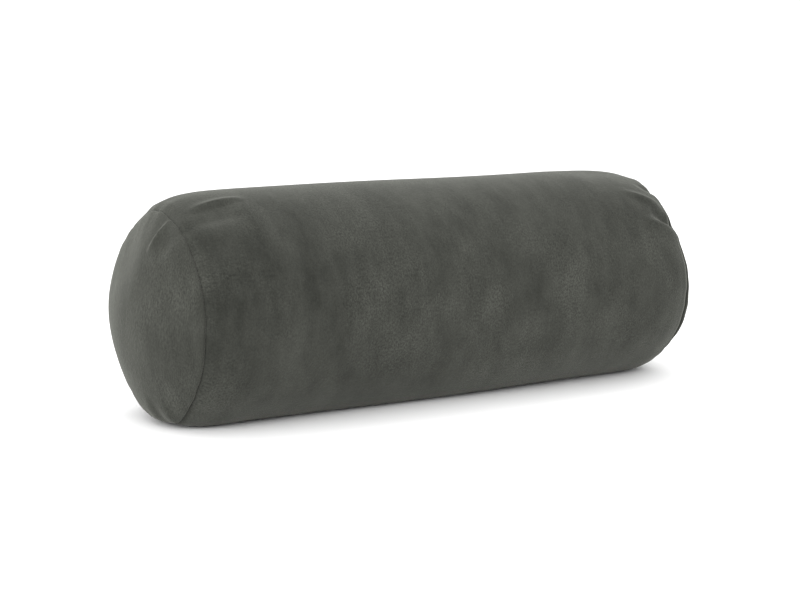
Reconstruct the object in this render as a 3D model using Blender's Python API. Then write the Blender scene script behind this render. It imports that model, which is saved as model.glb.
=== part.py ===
"""Bolster pillow: a turned foam core in wadding, a cotton casing, and a velvet cover with a zip.

The bolster lies along X and stands on its pressed-flat underside, with the origin below its middle.
Angles go round X from +Y (the back) towards +Z (the top). Metres throughout.
"""

import math

import bmesh
import bpy
from mathutils import Vector

# Overall shape, as sewn and filled
TUBE_DIAMETER = 0.200
SEAM_TO_SEAM = 0.500
DRAWN_IN = 0.0122  # how much smaller the tube's radius is at its end seams
SHOULDER_POWER = 12.4  # how late it draws in
END_CROWN = 0.028  # how far each end panel bulges past its seam
CROWN_POWER = 1.6
PRESSED_FLAT = 0.0098  # how far the pillow's weight flattens its underside

# Cloth and filling
VELVET = 0.0012
CASING = 0.0006
TOUCHING = 0.0003  # between pieces that lie against each other
LOOSE = 0.0006  # between the round layers
END_HEM = 0.010  # seam allowance turned in at the ends
BACK_HEM = 0.013  # and along the zip and the back seam
SQUEEZE_RUN = 0.030  # length over which the filling narrows to pass inside the end allowances
CORE_DIAMETER = 0.160
CORE_LENGTH = 0.440
CORE_EDGE = 0.006

# Thread
SEAM_THREAD = 0.0008
CASING_THREAD = 0.0005
TOP_STITCH = 0.0006
TOP_STITCH_IN = 0.004  # from the cover's folded edge
OVERLOCK = 0.0017

# Zip, sewn into the back a little above the middle
ZIP_ANGLE = math.radians(20)
ZIP_OPENING = 0.360
ZIP_SLIT = 0.0084
SEWN_SLIT = 0.0014  # where the back seam is closed
SLIT_RUN = 0.006  # length over which the slit narrows
TAPE_WIDTH = 0.0135
TAPE = 0.0006
TAPE_SPLIT = 0.0014
TAPE_PAST = 0.010  # tape beyond each end of the opening
COIL_WIDTH = 0.0016
COIL_HEIGHT = 0.0015
STOP_LENGTH = 0.0025
SLIDER_LENGTH = 0.0095
SLIDER_WIDTH = 0.0074
SLIDER_PLATE = 0.0010
SLIDER_RAIL = 0.0006
BRIDGE_LENGTH = 0.0052
BRIDGE_WIDTH = 0.0016
BRIDGE_BAR = 0.0008
PULL_THICKNESS = 0.0009
PULL_PLAY = 0.0006  # round the pull's bar, under the bridge
PULL_LENGTH = 0.024
PULL_WIDTH = 0.0060
PULL_ARM = 0.0008
PULL_EYE_GAP = 0.0006  # beside the bridge
LABEL = (0.030, 0.009, 0.0004)  # blank care label
LABEL_FROM_MIDDLE = -0.150

TURN_STEPS = 36
CROWN_STEPS = 5

RADIUS = TUBE_DIAMETER / 2
HALF = SEAM_TO_SEAM / 2
AXIS_HEIGHT = RADIUS - PRESSED_FLAT
HEMMED = 2 * VELVET + TOUCHING  # the velvet's thickness where its edge is turned under
END_STACK = HEMMED + LOOSE + VELVET  # hemmed tube and the end panel's allowance inside it
CORE_RADIUS = CORE_DIAMETER / 2

# Levels of the zip's layers, as distances from the pillow's axis
TAPE_TOP = RADIUS - HEMMED - TOUCHING
COIL_TOP = TAPE_TOP + TOUCHING + COIL_HEIGHT
SLIDER_TOP = COIL_TOP + TOUCHING + SLIDER_PLATE
SLIDER_BOTTOM = TAPE_TOP - TAPE - LOOSE - SLIDER_PLATE
INSERT_FLAT = SLIDER_BOTTOM - LOOSE  # the casing dips to here under the zip
PULL_AXIS = SLIDER_TOP + PULL_PLAY + PULL_THICKNESS / 2
SLIDER_FRONT = ZIP_OPENING / 2 - TOUCHING
SLIDER_MIDDLE = SLIDER_FRONT - SLIDER_LENGTH / 2


def material(name, color, roughness, metallic=0.0):
    made = bpy.data.materials.new(name)
    made.use_nodes = True
    shader = made.node_tree.nodes["Principled BSDF"]
    shader.inputs["Base Color"].default_value = (*color, 1.0)
    shader.inputs["Roughness"].default_value = roughness
    shader.inputs["Metallic"].default_value = metallic
    return made


def clear_scene():
    for obj in list(bpy.data.objects):
        bpy.data.objects.remove(obj)


def add_object(name, data, finish, smooth=True):
    obj = bpy.data.objects.new(name, data)
    bpy.context.scene.collection.objects.link(obj)
    data.materials.append(finish)
    if smooth and obj.type == "MESH":
        data.shade_smooth()
        data.set_sharp_from_angle(angle=math.radians(40))
    return obj


def mesh_from(name, bm):
    bmesh.ops.remove_doubles(bm, verts=bm.verts, dist=1e-6)
    bmesh.ops.recalc_face_normals(bm, faces=bm.faces)
    mesh = bpy.data.meshes.new(name)
    bm.to_mesh(mesh)
    bm.free()
    return mesh


def polar(x, radius, angle):
    return Vector((x, radius * math.cos(angle), AXIS_HEIGHT + radius * math.sin(angle)))


def at_zip(x, across, out):
    """A point by its place on the zip: across it (up the pillow's back), and out from the axis."""
    y = out * math.cos(ZIP_ANGLE) - across * math.sin(ZIP_ANGLE)
    z = out * math.sin(ZIP_ANGLE) + across * math.cos(ZIP_ANGLE)
    return Vector((x, y, AXIS_HEIGHT + z))


def clamp(value):
    return max(0.0, min(1.0, value))


def smooth_step(value):
    t = clamp(value)
    return t * t * (3 - 2 * t)


def tube_radius(x):
    """The velvet tube's outer radius: full in the middle, drawn in to the end seams."""
    return RADIUS - DRAWN_IN * abs(x / HALF) ** SHOULDER_POWER


def insert_radius(x):
    """The casing's outer radius: it follows the velvet, and stays inside the allowances at the ends."""
    full = HALF - 2 * END_HEM
    squeeze = (END_STACK - VELVET) * smooth_step((abs(x) - full) / SQUEEZE_RUN + 1)
    return tube_radius(x) - VELVET - LOOSE - squeeze


def wadding_radius(x):
    return insert_radius(x) - 2 * (CASING + LOOSE)


def crown(rim, height, side):
    """Points (x, radius) from the seam over the bulge of an end to its middle."""
    points = []
    for step in range(CROWN_STEPS + 1):
        turn = math.pi / 2 * step / CROWN_STEPS
        x = HALF + height * math.sin(turn) ** CROWN_POWER
        points.append((side * x, rim * math.cos(turn) if step < CROWN_STEPS else 0.0))
    return points


def crown_radius(past_seam, rim, height):
    """The radius of a crown at a distance past its seam."""
    return rim * math.sqrt(1 - (past_seam / height) ** (2 / CROWN_POWER))


def softness(x, radius):
    """How much a layer gives way: the cloth fully, the wadding less the deeper it is, foam not at all."""
    foam = CORE_RADIUS + LOOSE
    return clamp((radius - foam) / (wadding_radius(min(abs(x), HALF)) - foam))


def press_flat(bm):
    """Flattens the underside where the pillow rests."""
    for vert in bm.verts:
        x, y, z = vert.co.x, vert.co.y, vert.co.z - AXIS_HEIGHT
        radius = math.hypot(y, z)
        pressed = max(0.0, tube_radius(x) - AXIS_HEIGHT) if abs(x) < HALF else 0.0
        lowest = radius - pressed * softness(x, radius)
        vert.co.z = AXIS_HEIGHT + max(z, -lowest)


def dip_under_zip(bm):
    """Lets the filling give way under the zip, so that its slider can pass."""
    outward = Vector((0, math.cos(ZIP_ANGLE), math.sin(ZIP_ANGLE)))
    axis = Vector((0, 0, AXIS_HEIGHT))
    for vert in bm.verts:
        x = vert.co.x
        from_axis = Vector((0, vert.co.y, vert.co.z)) - axis
        radius = from_axis.length
        depth = max(0.0, insert_radius(min(abs(x), HALF)) - INSERT_FLAT)
        over = from_axis.dot(outward) - (radius - depth * softness(x, radius))
        if over > 0:
            vert.co -= outward * over


def turned(name, profile, finish, closed=False, dipped=False):
    """A solid of revolution round the pillow's axis, pressed flat below. Profile is (x, radius) points:
    a closed ring, or a line that starts and ends on the axis."""
    bm = bmesh.new()
    verts = [bm.verts.new(polar(x, radius, ZIP_ANGLE)) for x, radius in profile]
    pairs = list(zip(verts, verts[1:]))
    if closed:
        pairs.append((verts[-1], verts[0]))
    edges = [bm.edges.new(pair) for pair in pairs]
    bmesh.ops.spin(
        bm,
        geom=verts + edges,
        cent=(0, 0, AXIS_HEIGHT),
        axis=(1, 0, 0),
        angle=2 * math.pi,
        steps=TURN_STEPS,
        use_merge=True,
    )
    bmesh.ops.remove_doubles(bm, verts=bm.verts, dist=1e-6)
    press_flat(bm)
    if dipped:
        dip_under_zip(bm)
    return add_object(name, mesh_from(name, bm), finish)


def thread_ring(name, x, radius, thickness, finish):
    """A round of thread."""
    sides = 5
    profile = []
    for k in range(sides):
        turn = 2 * math.pi * k / sides
        profile.append(
            (x + thickness / 2 * math.cos(turn), radius + thickness / 2 * math.sin(turn))
        )
    return turned(name, profile, finish, closed=True)


def sheet_solid(name, outer, inner, finish):
    """A closed solid between two grids of points, outer[i][j] and inner[i][j]."""
    bm = bmesh.new()
    rows, columns = len(outer), len(outer[0])
    grids = [[[bm.verts.new(p) for p in row] for row in grid] for grid in (outer, inner)]
    for grid in grids:
        for i in range(rows - 1):
            for j in range(columns - 1):
                bm.faces.new((grid[i][j], grid[i + 1][j], grid[i + 1][j + 1], grid[i][j + 1]))
    border = [(i, 0) for i in range(rows)]
    border += [(rows - 1, j) for j in range(1, columns)]
    border += [(i, columns - 1) for i in range(rows - 2, -1, -1)]
    border += [(0, j) for j in range(columns - 2, 0, -1)]
    for (i, j), (k, m) in zip(border, border[1:] + border[:1]):
        bm.faces.new((grids[0][i][j], grids[0][k][m], grids[1][k][m], grids[1][i][j]))
    press_flat(bm)
    return add_object(name, mesh_from(name, bm), finish)


def slit_half(x):
    """Half the width of the slit down the back: wide at the zip, closed beyond its ends."""
    closing = smooth_step((abs(x) - ZIP_OPENING / 2) / SLIT_RUN - 1)
    return (ZIP_SLIT + (SEWN_SLIT - ZIP_SLIT) * closing) / 2


def hem_stations():
    """The places along an end allowance, from its raw edge to the seam."""
    return [HALF - END_HEM * (1 - share) for share in (0, 1 / 3, 2 / 3, 1)]


def tube_stations(half_length=HALF, extra=()):
    """The places along X that every round layer is drawn at, so that all of them bend alike."""
    half = [HALF * share for share in (0, 0.35, 0.7, 0.8, 0.87, 0.92)] + hem_stations()
    half = sorted({x for x in half if x < half_length} | set(extra) | {half_length})
    return [-x for x in reversed(half[1:])] + half


def cover_tube(finish):
    """The velvet rectangle, rolled up round the axis, with all four edges turned under."""
    step = 1e-4
    hem_edge = HALF - END_HEM
    narrowing = [ZIP_OPENING / 2 + SLIT_RUN * share for share in (1, 1.5, 2)]
    lengths = tube_stations(extra=narrowing + [hem_edge - step])
    turn = 2 * math.pi / TURN_STEPS
    hem = (ZIP_SLIT / 2 + BACK_HEM) / RADIUS
    outer, inner = [], []
    for x in lengths:
        edge = slit_half(x) / RADIUS
        near = [edge + (hem - edge) * share for share in (0, 1 / 3, 2 / 3, 1)]
        far = [2 * math.pi - a for a in reversed(near)]
        angles = near + [turn * k for k in range(1, TURN_STEPS)] + far
        radius = tube_radius(x)
        outer.append([polar(x, radius, ZIP_ANGLE + a) for a in angles])
        walls = []
        for angle in angles:
            hemmed = abs(x) >= hem_edge or min(angle, 2 * math.pi - angle) < hem + 1e-6
            walls.append(HEMMED if hemmed else VELVET)
        inner.append([polar(x, radius - w, ZIP_ANGLE + a) for w, a in zip(walls, angles)])
    return sheet_solid("cover_tube", outer, inner, finish)


def end_panel(name, side, cloth, wall_inside, crown_height, finish, dipped=False):
    """A round end panel: its bulge outside the seam, and its allowance turned in along the tube.
    wall_inside(x) is the radius that the allowance lies within."""
    hem = hem_stations()[:-1]
    rim = wall_inside(HALF)
    outer = [(side * x, wall_inside(x)) for x in hem] + crown(rim, crown_height, side)
    inner = [(side * x, wall_inside(x) - cloth) for x in hem]
    inner += crown(rim - cloth, crown_height - cloth, side)
    return turned(name, list(reversed(outer)) + inner, finish, dipped=dipped)


def cover_ends(velvet, thread):
    """Both end panels of the cover, their seams and the overlocked edges inside."""

    def inside(x):
        return tube_radius(x) - HEMMED - LOOSE

    rim = inside(HALF)
    raw_edge = HALF - END_HEM - TOUCHING
    out = TOUCHING + SEAM_THREAD / 2
    groove = crown_radius(out, rim, END_CROWN) + TOUCHING + SEAM_THREAD / 2
    for label, side in (("left", -1), ("right", 1)):
        end_panel(f"cover_end_{label}", side, VELVET, inside, END_CROWN, velvet)
        thread_ring(f"end_seam_thread_{label}", side * (HALF + out), groove, SEAM_THREAD, thread)
        near, far = raw_edge, raw_edge - OVERLOCK
        ring = [(side * near, inside(near) - VELVET), (side * near, inside(near))]
        ring += [(side * far, inside(far)), (side * far, inside(far) - VELVET)]
        turned(f"edge_overlock_{label}", ring, thread, closed=True)


def insert_parts(cotton, thread, wadding, foam):
    """The inner pillow: casing tube and ends, their seams, the wadding and the core."""
    outer = [(x, insert_radius(x)) for x in tube_stations()]
    inner = [(x, radius - CASING) for x, radius in reversed(outer)]
    turned("insert_casing_tube", outer + inner, cotton, closed=True, dipped=True)

    def inside(x):
        return insert_radius(x) - CASING - LOOSE

    height = END_CROWN - VELVET - LOOSE
    out = TOUCHING + CASING_THREAD / 2
    groove = crown_radius(out, inside(HALF), height) + TOUCHING + CASING_THREAD / 2
    pad_rim = wadding_radius(HALF)
    pad_height = height - CASING - LOOSE
    wrap_end = CORE_LENGTH / 2 + LOOSE
    for label, side in (("left", -1), ("right", 1)):
        end_panel(
            f"insert_casing_end_{label}", side, CASING, inside, height, cotton, dipped=True
        )
        thread_ring(
            f"insert_seam_thread_{label}", side * (HALF + out), groove, CASING_THREAD, thread
        )
        beyond = [wrap_end] + [x for x in tube_stations() if wrap_end < x < HALF]
        pad = [(side * wrap_end, 0.0)] + [(side * x, wadding_radius(x)) for x in beyond]
        pad += crown(pad_rim, pad_height, side)
        turned(f"wadding_end_{label}", pad, wadding, dipped=True)

    wrap_half = wrap_end - LOOSE
    over = [(x, wadding_radius(x)) for x in tube_stations(wrap_half)]
    under = [(x, CORE_RADIUS + LOOSE) for x, _ in reversed(over)]
    turned("wadding_wrap", over + under, wadding, closed=True, dipped=True)
    core_half = CORE_LENGTH / 2
    profile = [
        (-core_half, 0.0),
        (-core_half, CORE_RADIUS - CORE_EDGE),
        (-core_half + CORE_EDGE, CORE_RADIUS),
        (core_half - CORE_EDGE, CORE_RADIUS),
        (core_half, CORE_RADIUS - CORE_EDGE),
        (core_half, 0.0),
    ]
    turned("foam_core", profile, foam)


def bar(name, x_from, x_to, low, high, finish):
    """A straight bar along X at the zip, between two (across, out) corners."""
    (a0, o0), (a1, o1) = low, high
    corners = [(a0, o0), (a1, o0), (a1, o1), (a0, o1)]
    return prism(name, x_from, x_to, corners, finish)


def prism(name, x_from, x_to, section, finish):
    """A section of (across, out) points at the zip, extruded along X."""
    bm = bmesh.new()
    face = bm.faces.new([bm.verts.new(at_zip(x_from, a, o)) for a, o in section])
    made = bmesh.ops.extrude_face_region(bm, geom=[face])["geom"]
    moved = [v for v in made if isinstance(v, bmesh.types.BMVert)]
    bmesh.ops.translate(bm, verts=moved, vec=(x_to - x_from, 0, 0))
    return add_object(name, mesh_from(name, bm), finish, smooth=False)


def thread_rod(name, x_from, x_to, across, out, thickness, finish):
    """A straight run of thread along X at the zip."""
    sides = 6
    section = []
    for k in range(sides):
        turn = 2 * math.pi * k / sides
        section.append(
            (across + thickness / 2 * math.cos(turn), out + thickness / 2 * math.sin(turn))
        )
    return prism(name, x_from, x_to, section, finish)


def zip_tape(name, up, finish):
    """One woven tape, bent to the curve of the cover above it."""
    stations = tube_stations(ZIP_OPENING / 2 + TAPE_PAST)
    from_middle = [TAPE_SPLIT / 2 + TAPE_WIDTH * share for share in (0, 1 / 3, 2 / 3, 1)]
    angles = [ZIP_ANGLE + up * across / TAPE_TOP for across in from_middle]
    grids = []
    for depth in (0, TAPE):
        out = [tube_radius(x) - RADIUS + TAPE_TOP - depth for x in stations]
        grids.append([[polar(x, r, a) for a in angles] for x, r in zip(stations, out)])
    return sheet_solid(name, *grids, finish)


def zip_parts(tape, nylon, metal, thread):
    """Tapes, coils, stops and the rows of thread that hold them to the cover."""
    half = ZIP_OPENING / 2
    coil_low = TAPE_TOP + TOUCHING
    stitch_angle = (ZIP_SLIT / 2 + TOP_STITCH_IN) / RADIUS
    stitch_out = RADIUS + TOUCHING + TOP_STITCH / 2
    for label, up in (("upper", 1), ("lower", -1)):
        zip_tape(f"zip_tape_{label}", up, tape)
        near, far = up * TAPE_SPLIT / 2, up * (TAPE_SPLIT / 2 + COIL_WIDTH)
        bar(f"zip_coil_{label}", -half, half, (near, coil_low), (far, COIL_TOP), nylon)
        stop_from = half + TOUCHING
        ends = stop_from, stop_from + STOP_LENGTH
        bar(f"zip_top_stop_{label}", *ends, (near, coil_low), (far, COIL_TOP), metal)
        across = stitch_out * math.sin(stitch_angle)
        out = stitch_out * math.cos(stitch_angle)
        stitched = half + TAPE_PAST / 2
        name = f"zip_stitching_{label}"
        thread_rod(name, -stitched, stitched, up * across, out, TOP_STITCH, thread)
    wide = TAPE_SPLIT / 2 + COIL_WIDTH
    from_end = -half - TOUCHING
    ends = from_end - STOP_LENGTH, from_end
    bar("zip_bottom_stop", *ends, (-wide, coil_low), (wide, COIL_TOP), metal)
    seam_from = half + 2 * SLIT_RUN
    for label, side in (("left", -1), ("right", 1)):
        back_seam_thread(f"back_seam_thread_{label}", side, seam_from, HALF - TOUCHING, thread)
    across = -(ZIP_SLIT / 2 + BACK_HEM + 4 * CASING_THREAD)
    out = INSERT_FLAT + TOUCHING + CASING_THREAD / 2
    thread_rod("insert_closing_seam", -half, half, across, out, CASING_THREAD, thread)


def back_seam_thread(name, side, x_from, x_to, finish):
    """Thread in the closed part of the back seam, following the tube as it draws in."""
    thickness = SEWN_SLIT - 2 * TOUCHING
    edges = (-thickness / 2, thickness / 2)
    steps = 5
    xs = [x_from + (x_to - x_from) * k / steps for k in range(steps + 1)]
    grids = []
    for depth in (0, thickness):
        grid = []
        for x in xs:
            out = tube_radius(x) - VELVET / 2 - depth
            grid.append([at_zip(side * x, across, out) for across in edges])
        grids.append(grid)
    return sheet_solid(name, *grids, finish)


def zip_slider(metal):
    """The slider: two plates joined by a divider, rails round the coils, and a bridge for the pull."""
    half, rail = SLIDER_WIDTH / 2, SLIDER_WIDTH / 2 - SLIDER_RAIL
    web = TAPE_SPLIT / 2 - TOUCHING
    top_under, bottom_over = SLIDER_TOP - SLIDER_PLATE, SLIDER_BOTTOM + SLIDER_PLATE
    rail_end = TAPE_TOP + TOUCHING
    right_side = [
        (half, SLIDER_BOTTOM),
        (half, bottom_over),
        (web, bottom_over),
        (web, top_under),
        (rail, top_under),
        (rail, rail_end),
        (half, rail_end),
        (half, SLIDER_TOP),
    ]
    section = right_side + [(-across, out) for across, out in reversed(right_side)]
    ends = SLIDER_MIDDLE - SLIDER_LENGTH / 2, SLIDER_FRONT
    slider = prism("zip_slider", *ends, section, metal)
    bridge = pull_bridge(metal)
    join = slider.modifiers.new("bridge", "BOOLEAN")
    join.operation = "UNION"
    join.object = bridge
    return slider


def pull_bridge(metal):
    """The bridge over the pull's bar, sunk into the slider's top plate."""
    sunk = SLIDER_TOP - SLIDER_PLATE / 2
    under = PULL_AXIS + PULL_THICKNESS / 2 + PULL_PLAY
    top = under + BRIDGE_BAR
    long, inner = BRIDGE_LENGTH / 2, BRIDGE_LENGTH / 2 - BRIDGE_BAR
    outline = [(-long, sunk), (-long, top), (long, top), (long, sunk)]
    outline += [(inner, sunk), (inner, under), (-inner, under), (-inner, sunk)]
    bm = bmesh.new()
    near = [at_zip(SLIDER_MIDDLE + x, -BRIDGE_WIDTH / 2, out) for x, out in outline]
    face = bm.faces.new([bm.verts.new(p) for p in near])
    made = bmesh.ops.extrude_face_region(bm, geom=[face])["geom"]
    moved = [v for v in made if isinstance(v, bmesh.types.BMVert)]
    width = at_zip(0, BRIDGE_WIDTH, 0) - at_zip(0, 0, 0)
    bmesh.ops.translate(bm, verts=moved, vec=width)
    bridge = add_object("bridge_guide", mesh_from("bridge_guide", bm), metal, smooth=False)
    bridge.hide_render = True
    bridge.display_type = "WIRE"
    return bridge


def zip_pull(metal):
    """The pull: a tapered tab with an eye, whose end bar turns under the slider's bridge."""
    eye_half = BRIDGE_WIDTH / 2 + PULL_EYE_GAP
    bar_half = PULL_THICKNESS / 2
    reach = math.hypot(BRIDGE_LENGTH / 2, PULL_THICKNESS / 2 + PULL_PLAY + BRIDGE_BAR)
    eye_end = reach + PULL_EYE_GAP
    neck = eye_half + PULL_ARM
    round_from = PULL_LENGTH - PULL_WIDTH / 2
    outline = [(bar_half, neck), (-eye_end, neck), (-eye_end - PULL_WIDTH / 2, PULL_WIDTH / 2)]
    arc_steps = 8
    for k in range(arc_steps + 1):
        turn = math.pi / 2 - math.pi * k / arc_steps
        end_x = -round_from - PULL_WIDTH / 2 * math.cos(turn)
        outline.append((end_x, PULL_WIDTH / 2 * math.sin(turn)))
    outline += [(-eye_end - PULL_WIDTH / 2, -PULL_WIDTH / 2), (-eye_end, -neck), (bar_half, -neck)]
    eye = [(-bar_half, eye_half), (-bar_half, -eye_half), (-eye_end, -eye_half), (-eye_end, eye_half)]
    curve = bpy.data.curves.new("zip_pull", "CURVE")
    curve.dimensions = "2D"
    curve.fill_mode = "BOTH"
    curve.extrude = PULL_THICKNESS / 2
    for points in (outline, eye):
        spline = curve.splines.new("POLY")
        spline.points.add(len(points) - 1)
        for point, (x, across) in zip(spline.points, points):
            point.co = (x, across, 0, 1)
        spline.use_cyclic_u = True
    pull = add_object("zip_pull", curve, metal)
    pull.location = at_zip(SLIDER_MIDDLE, 0, PULL_AXIS)
    pull.rotation_euler = (ZIP_ANGLE - math.pi / 2, 0, 0)
    return pull


def care_label(finish):
    """A blank label, sewn in under the lower tape and bent to its curve."""
    length, width, thickness = LABEL
    top = TAPE_TOP - TAPE - TOUCHING
    from_x = LABEL_FROM_MIDDLE
    near = SLIDER_WIDTH / 2 + 2 * TOUCHING
    angles = [ZIP_ANGLE - (near + width * share) / top for share in (0, 1 / 3, 2 / 3, 1)]
    grids = []
    for radius in (top, top - thickness):
        grids.append([[polar(x, radius, a) for a in angles] for x in (from_x, from_x + length)])
    return sheet_solid("care_label", *grids, finish)


def main():
    clear_scene()
    velvet = material("velvet", (0.085, 0.088, 0.078), 0.85)
    cotton = material("casing_cotton", (0.78, 0.76, 0.71), 0.9)
    wadding = material("wadding", (0.88, 0.88, 0.86), 0.95)
    foam = material("foam", (0.83, 0.78, 0.62), 0.95)
    thread = material("thread", (0.07, 0.072, 0.065), 0.7)
    casing_thread = material("casing_thread", (0.8, 0.79, 0.75), 0.7)
    tape = material("zip_tape", (0.06, 0.062, 0.058), 0.85)
    nylon = material("zip_nylon", (0.05, 0.052, 0.05), 0.4)
    metal = material("zip_metal", (0.25, 0.25, 0.26), 0.35, metallic=1.0)
    label = material("label_satin", (0.85, 0.85, 0.83), 0.6)
    cover_tube(velvet)
    cover_ends(velvet, thread)
    insert_parts(cotton, casing_thread, wadding, foam)
    zip_parts(tape, nylon, metal, thread)
    zip_slider(metal)
    zip_pull(metal)
    care_label(label)


main()
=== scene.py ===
# %% [markdown]
# # A velvet bolster pillow
#
# A bolster is a long round pillow. Its cover is one velvet rectangle rolled into a tube, with a round
# velvet panel sewn into each end and a zip down the back. Inside are a cotton casing, soft wadding and
# a firm foam core. This lesson dresses the plain solid model of those parts in real-looking cloth.
#
# Almost every shape here is a surface: a grid of points, each worked out from two numbers, such as how
# far along the pillow it is and how far round.

# %% Load the solid model
import math

import bmesh
import bpy
import numpy as np
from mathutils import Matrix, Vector


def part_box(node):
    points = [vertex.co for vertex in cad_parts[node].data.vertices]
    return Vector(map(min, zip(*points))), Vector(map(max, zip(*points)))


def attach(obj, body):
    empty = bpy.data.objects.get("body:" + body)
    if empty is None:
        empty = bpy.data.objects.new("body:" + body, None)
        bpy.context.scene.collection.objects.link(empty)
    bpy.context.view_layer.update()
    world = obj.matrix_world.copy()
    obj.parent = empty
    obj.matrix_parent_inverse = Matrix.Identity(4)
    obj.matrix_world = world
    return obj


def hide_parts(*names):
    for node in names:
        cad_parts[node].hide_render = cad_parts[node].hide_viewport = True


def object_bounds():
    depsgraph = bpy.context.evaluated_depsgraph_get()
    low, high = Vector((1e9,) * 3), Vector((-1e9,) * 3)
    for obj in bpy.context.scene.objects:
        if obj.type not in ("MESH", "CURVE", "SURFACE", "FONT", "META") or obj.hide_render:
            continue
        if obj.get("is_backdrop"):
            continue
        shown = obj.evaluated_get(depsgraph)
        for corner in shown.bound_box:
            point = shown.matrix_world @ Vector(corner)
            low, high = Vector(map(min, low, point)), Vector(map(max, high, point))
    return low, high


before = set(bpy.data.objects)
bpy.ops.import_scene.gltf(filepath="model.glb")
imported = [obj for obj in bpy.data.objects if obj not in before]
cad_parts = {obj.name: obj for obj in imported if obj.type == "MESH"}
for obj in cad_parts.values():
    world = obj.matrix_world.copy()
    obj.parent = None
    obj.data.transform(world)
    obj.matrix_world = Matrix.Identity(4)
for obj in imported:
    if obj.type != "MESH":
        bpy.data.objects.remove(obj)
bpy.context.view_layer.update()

# %% [markdown]
# ## The sizes that everything shares
#
# The solid model already says how big the pillow is, so the numbers are read from it and not typed
# again. X runs along the pillow, the back with the zip faces +Y, and the pillow lies on z = 0.

# %% Read the pillow's sizes
tube_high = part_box("cover_tube")[1]
RADIUS = tube_high[1]
HALF = tube_high[0]
AXIS_HEIGHT = tube_high[2] - RADIUS
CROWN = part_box("cover_end_right")[1][0] - HALF
DRAWN_IN = 0.0122  # how much less the radius is at an end seam
SEAM_RADIUS = RADIUS - DRAWN_IN
print(f"tube {2 * RADIUS * 1e3:.0f} mm across, {2 * HALF * 1e3:.0f} mm between its seams")
print(f"axis {AXIS_HEIGHT * 1e3:.1f} mm up, ends bulge {CROWN * 1e3:.0f} mm")

# %% Choose the cloth, and read the zip's place
VELVET = 0.0012
COTTON = 0.0006
LOOSE = 0.0006  # between layers
SEAM_ALLOWANCE = 0.010  # cloth turned in at an end seam
ZIP_HEM = 0.013  # cloth turned in along the zip
CROWN_EASE = 1.08  # cloth across a domed end, compared with a flat one
ZIP_ANGLE = math.radians(20)  # above the horizontal, at the back
ZIP_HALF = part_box("zip_coil_upper")[1][0]
TAPE_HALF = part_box("zip_tape_upper")[1][0]
print(f"velvet {VELVET * 1e3:.1f} mm thick, zip {2 * ZIP_HALF * 1e3:.0f} mm long")

# %% [markdown]
# ## Camera, floor and light
#
# The camera looks a little down at the pillow and shows its near end. A long lens far away keeps the
# shape calm, where a wide lens close by would swell the near end.

# %% Place the camera
VIEW_AZIMUTH = math.radians(-33.6)
VIEW_ELEVATION = math.radians(8.1)
VIEW_DISTANCE = 1.615


def towards_camera(azimuth, elevation):
    """The unit vector from the pillow to a viewer at this azimuth (0 is in front) and elevation."""
    level = math.cos(elevation)
    return np.array([math.sin(azimuth) * level, -math.cos(azimuth) * level, math.sin(elevation)])


def aimed(obj, place, target):
    """Puts a lamp or camera at a place and turns its -Z axis to the target."""
    obj.location = place
    obj.rotation_euler = (Vector(target) - Vector(place)).to_track_quat("-Z", "Y").to_euler()
    bpy.context.scene.collection.objects.link(obj)


middle = np.array([0, 0, AXIS_HEIGHT])
lens = bpy.data.cameras.new("camera")
lens.lens = 81.3
lens.shift_x, lens.shift_y = -0.0155, -0.0115
lens.clip_end = 50
camera = bpy.data.objects.new("camera", lens)
view_from = middle + VIEW_DISTANCE * towards_camera(VIEW_AZIMUTH, VIEW_ELEVATION)
aimed(camera, view_from, middle)
bpy.context.scene.camera = camera
print(f"camera {VIEW_DISTANCE:.2f} m away, lens {lens.lens:.0f} mm")

# %% [markdown]
# The floor could be a curved backdrop, as in a studio. Here it is a flat sheet so large that its far
# edge melts into the white world behind it. It is plain and pale, and takes the pillow's soft shadow.

# %% Lay the floor
FLOOR = 14.0  # half its width
floor_mesh = bpy.data.meshes.new("floor")
floor_mesh.from_pydata(
    [(x, y, 0.0) for x, y in ((-FLOOR, -FLOOR), (FLOOR, -FLOOR), (FLOOR, FLOOR), (-FLOOR, FLOOR))],
    [],
    [(0, 1, 2, 3)],
)
floor = bpy.data.objects.new("floor", floor_mesh)
bpy.context.scene.collection.objects.link(floor)
floor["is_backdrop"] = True
floor_paint = bpy.data.materials.new("floor_paint")
floor_paint.use_nodes = True
paint = floor_paint.node_tree.nodes["Principled BSDF"]
paint.inputs["Base Color"].default_value = (0.95, 0.95, 0.95, 1)
paint.inputs["Roughness"].default_value = 0.9
floor_mesh.materials.append(floor_paint)
print(f"floor {2 * FLOOR:.0f} m square")

# %% [markdown]
# Velvet shows its pile best in broad light, because a small lamp would draw one hard line along it. So
# a white world lights everything evenly, and four large panels give it a direction: the strongest
# stands in front, one hangs above and behind to catch the top edge, and one stands at each end.

# %% Hang the lights
world = bpy.data.worlds.new("studio")
world.use_nodes = True
sky = world.node_tree.nodes["Background"]
sky.inputs["Color"].default_value = (1, 1, 1, 1)
sky.inputs["Strength"].default_value = 1.35
bpy.context.scene.world = world
bpy.context.scene.view_settings.view_transform = "Standard"


def soft_panel(name, place, width, height, watts):
    """A rectangular lamp of that size in metres, aimed at the pillow."""
    light = bpy.data.lights.new(name, "AREA")
    light.shape = "RECTANGLE"
    light.size, light.size_y = width, height
    light.energy = watts
    aimed(bpy.data.objects.new(name, light), place, middle)


soft_panel("panel_above", (0.1, 0.7, 2.1), 2.6, 1.6, 12)
soft_panel("panel_front", (-0.9, -2.1, 1.5), 2.2, 1.4, 24)
soft_panel("panel_left", (-2.2, -0.35, 0.75), 1.4, 1.2, 16)
soft_panel("panel_right", (1.9, 0.6, 0.9), 1.2, 1.4, 8)
print(f"lights: a white world and {len(bpy.data.lights)} soft panels")

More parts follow.
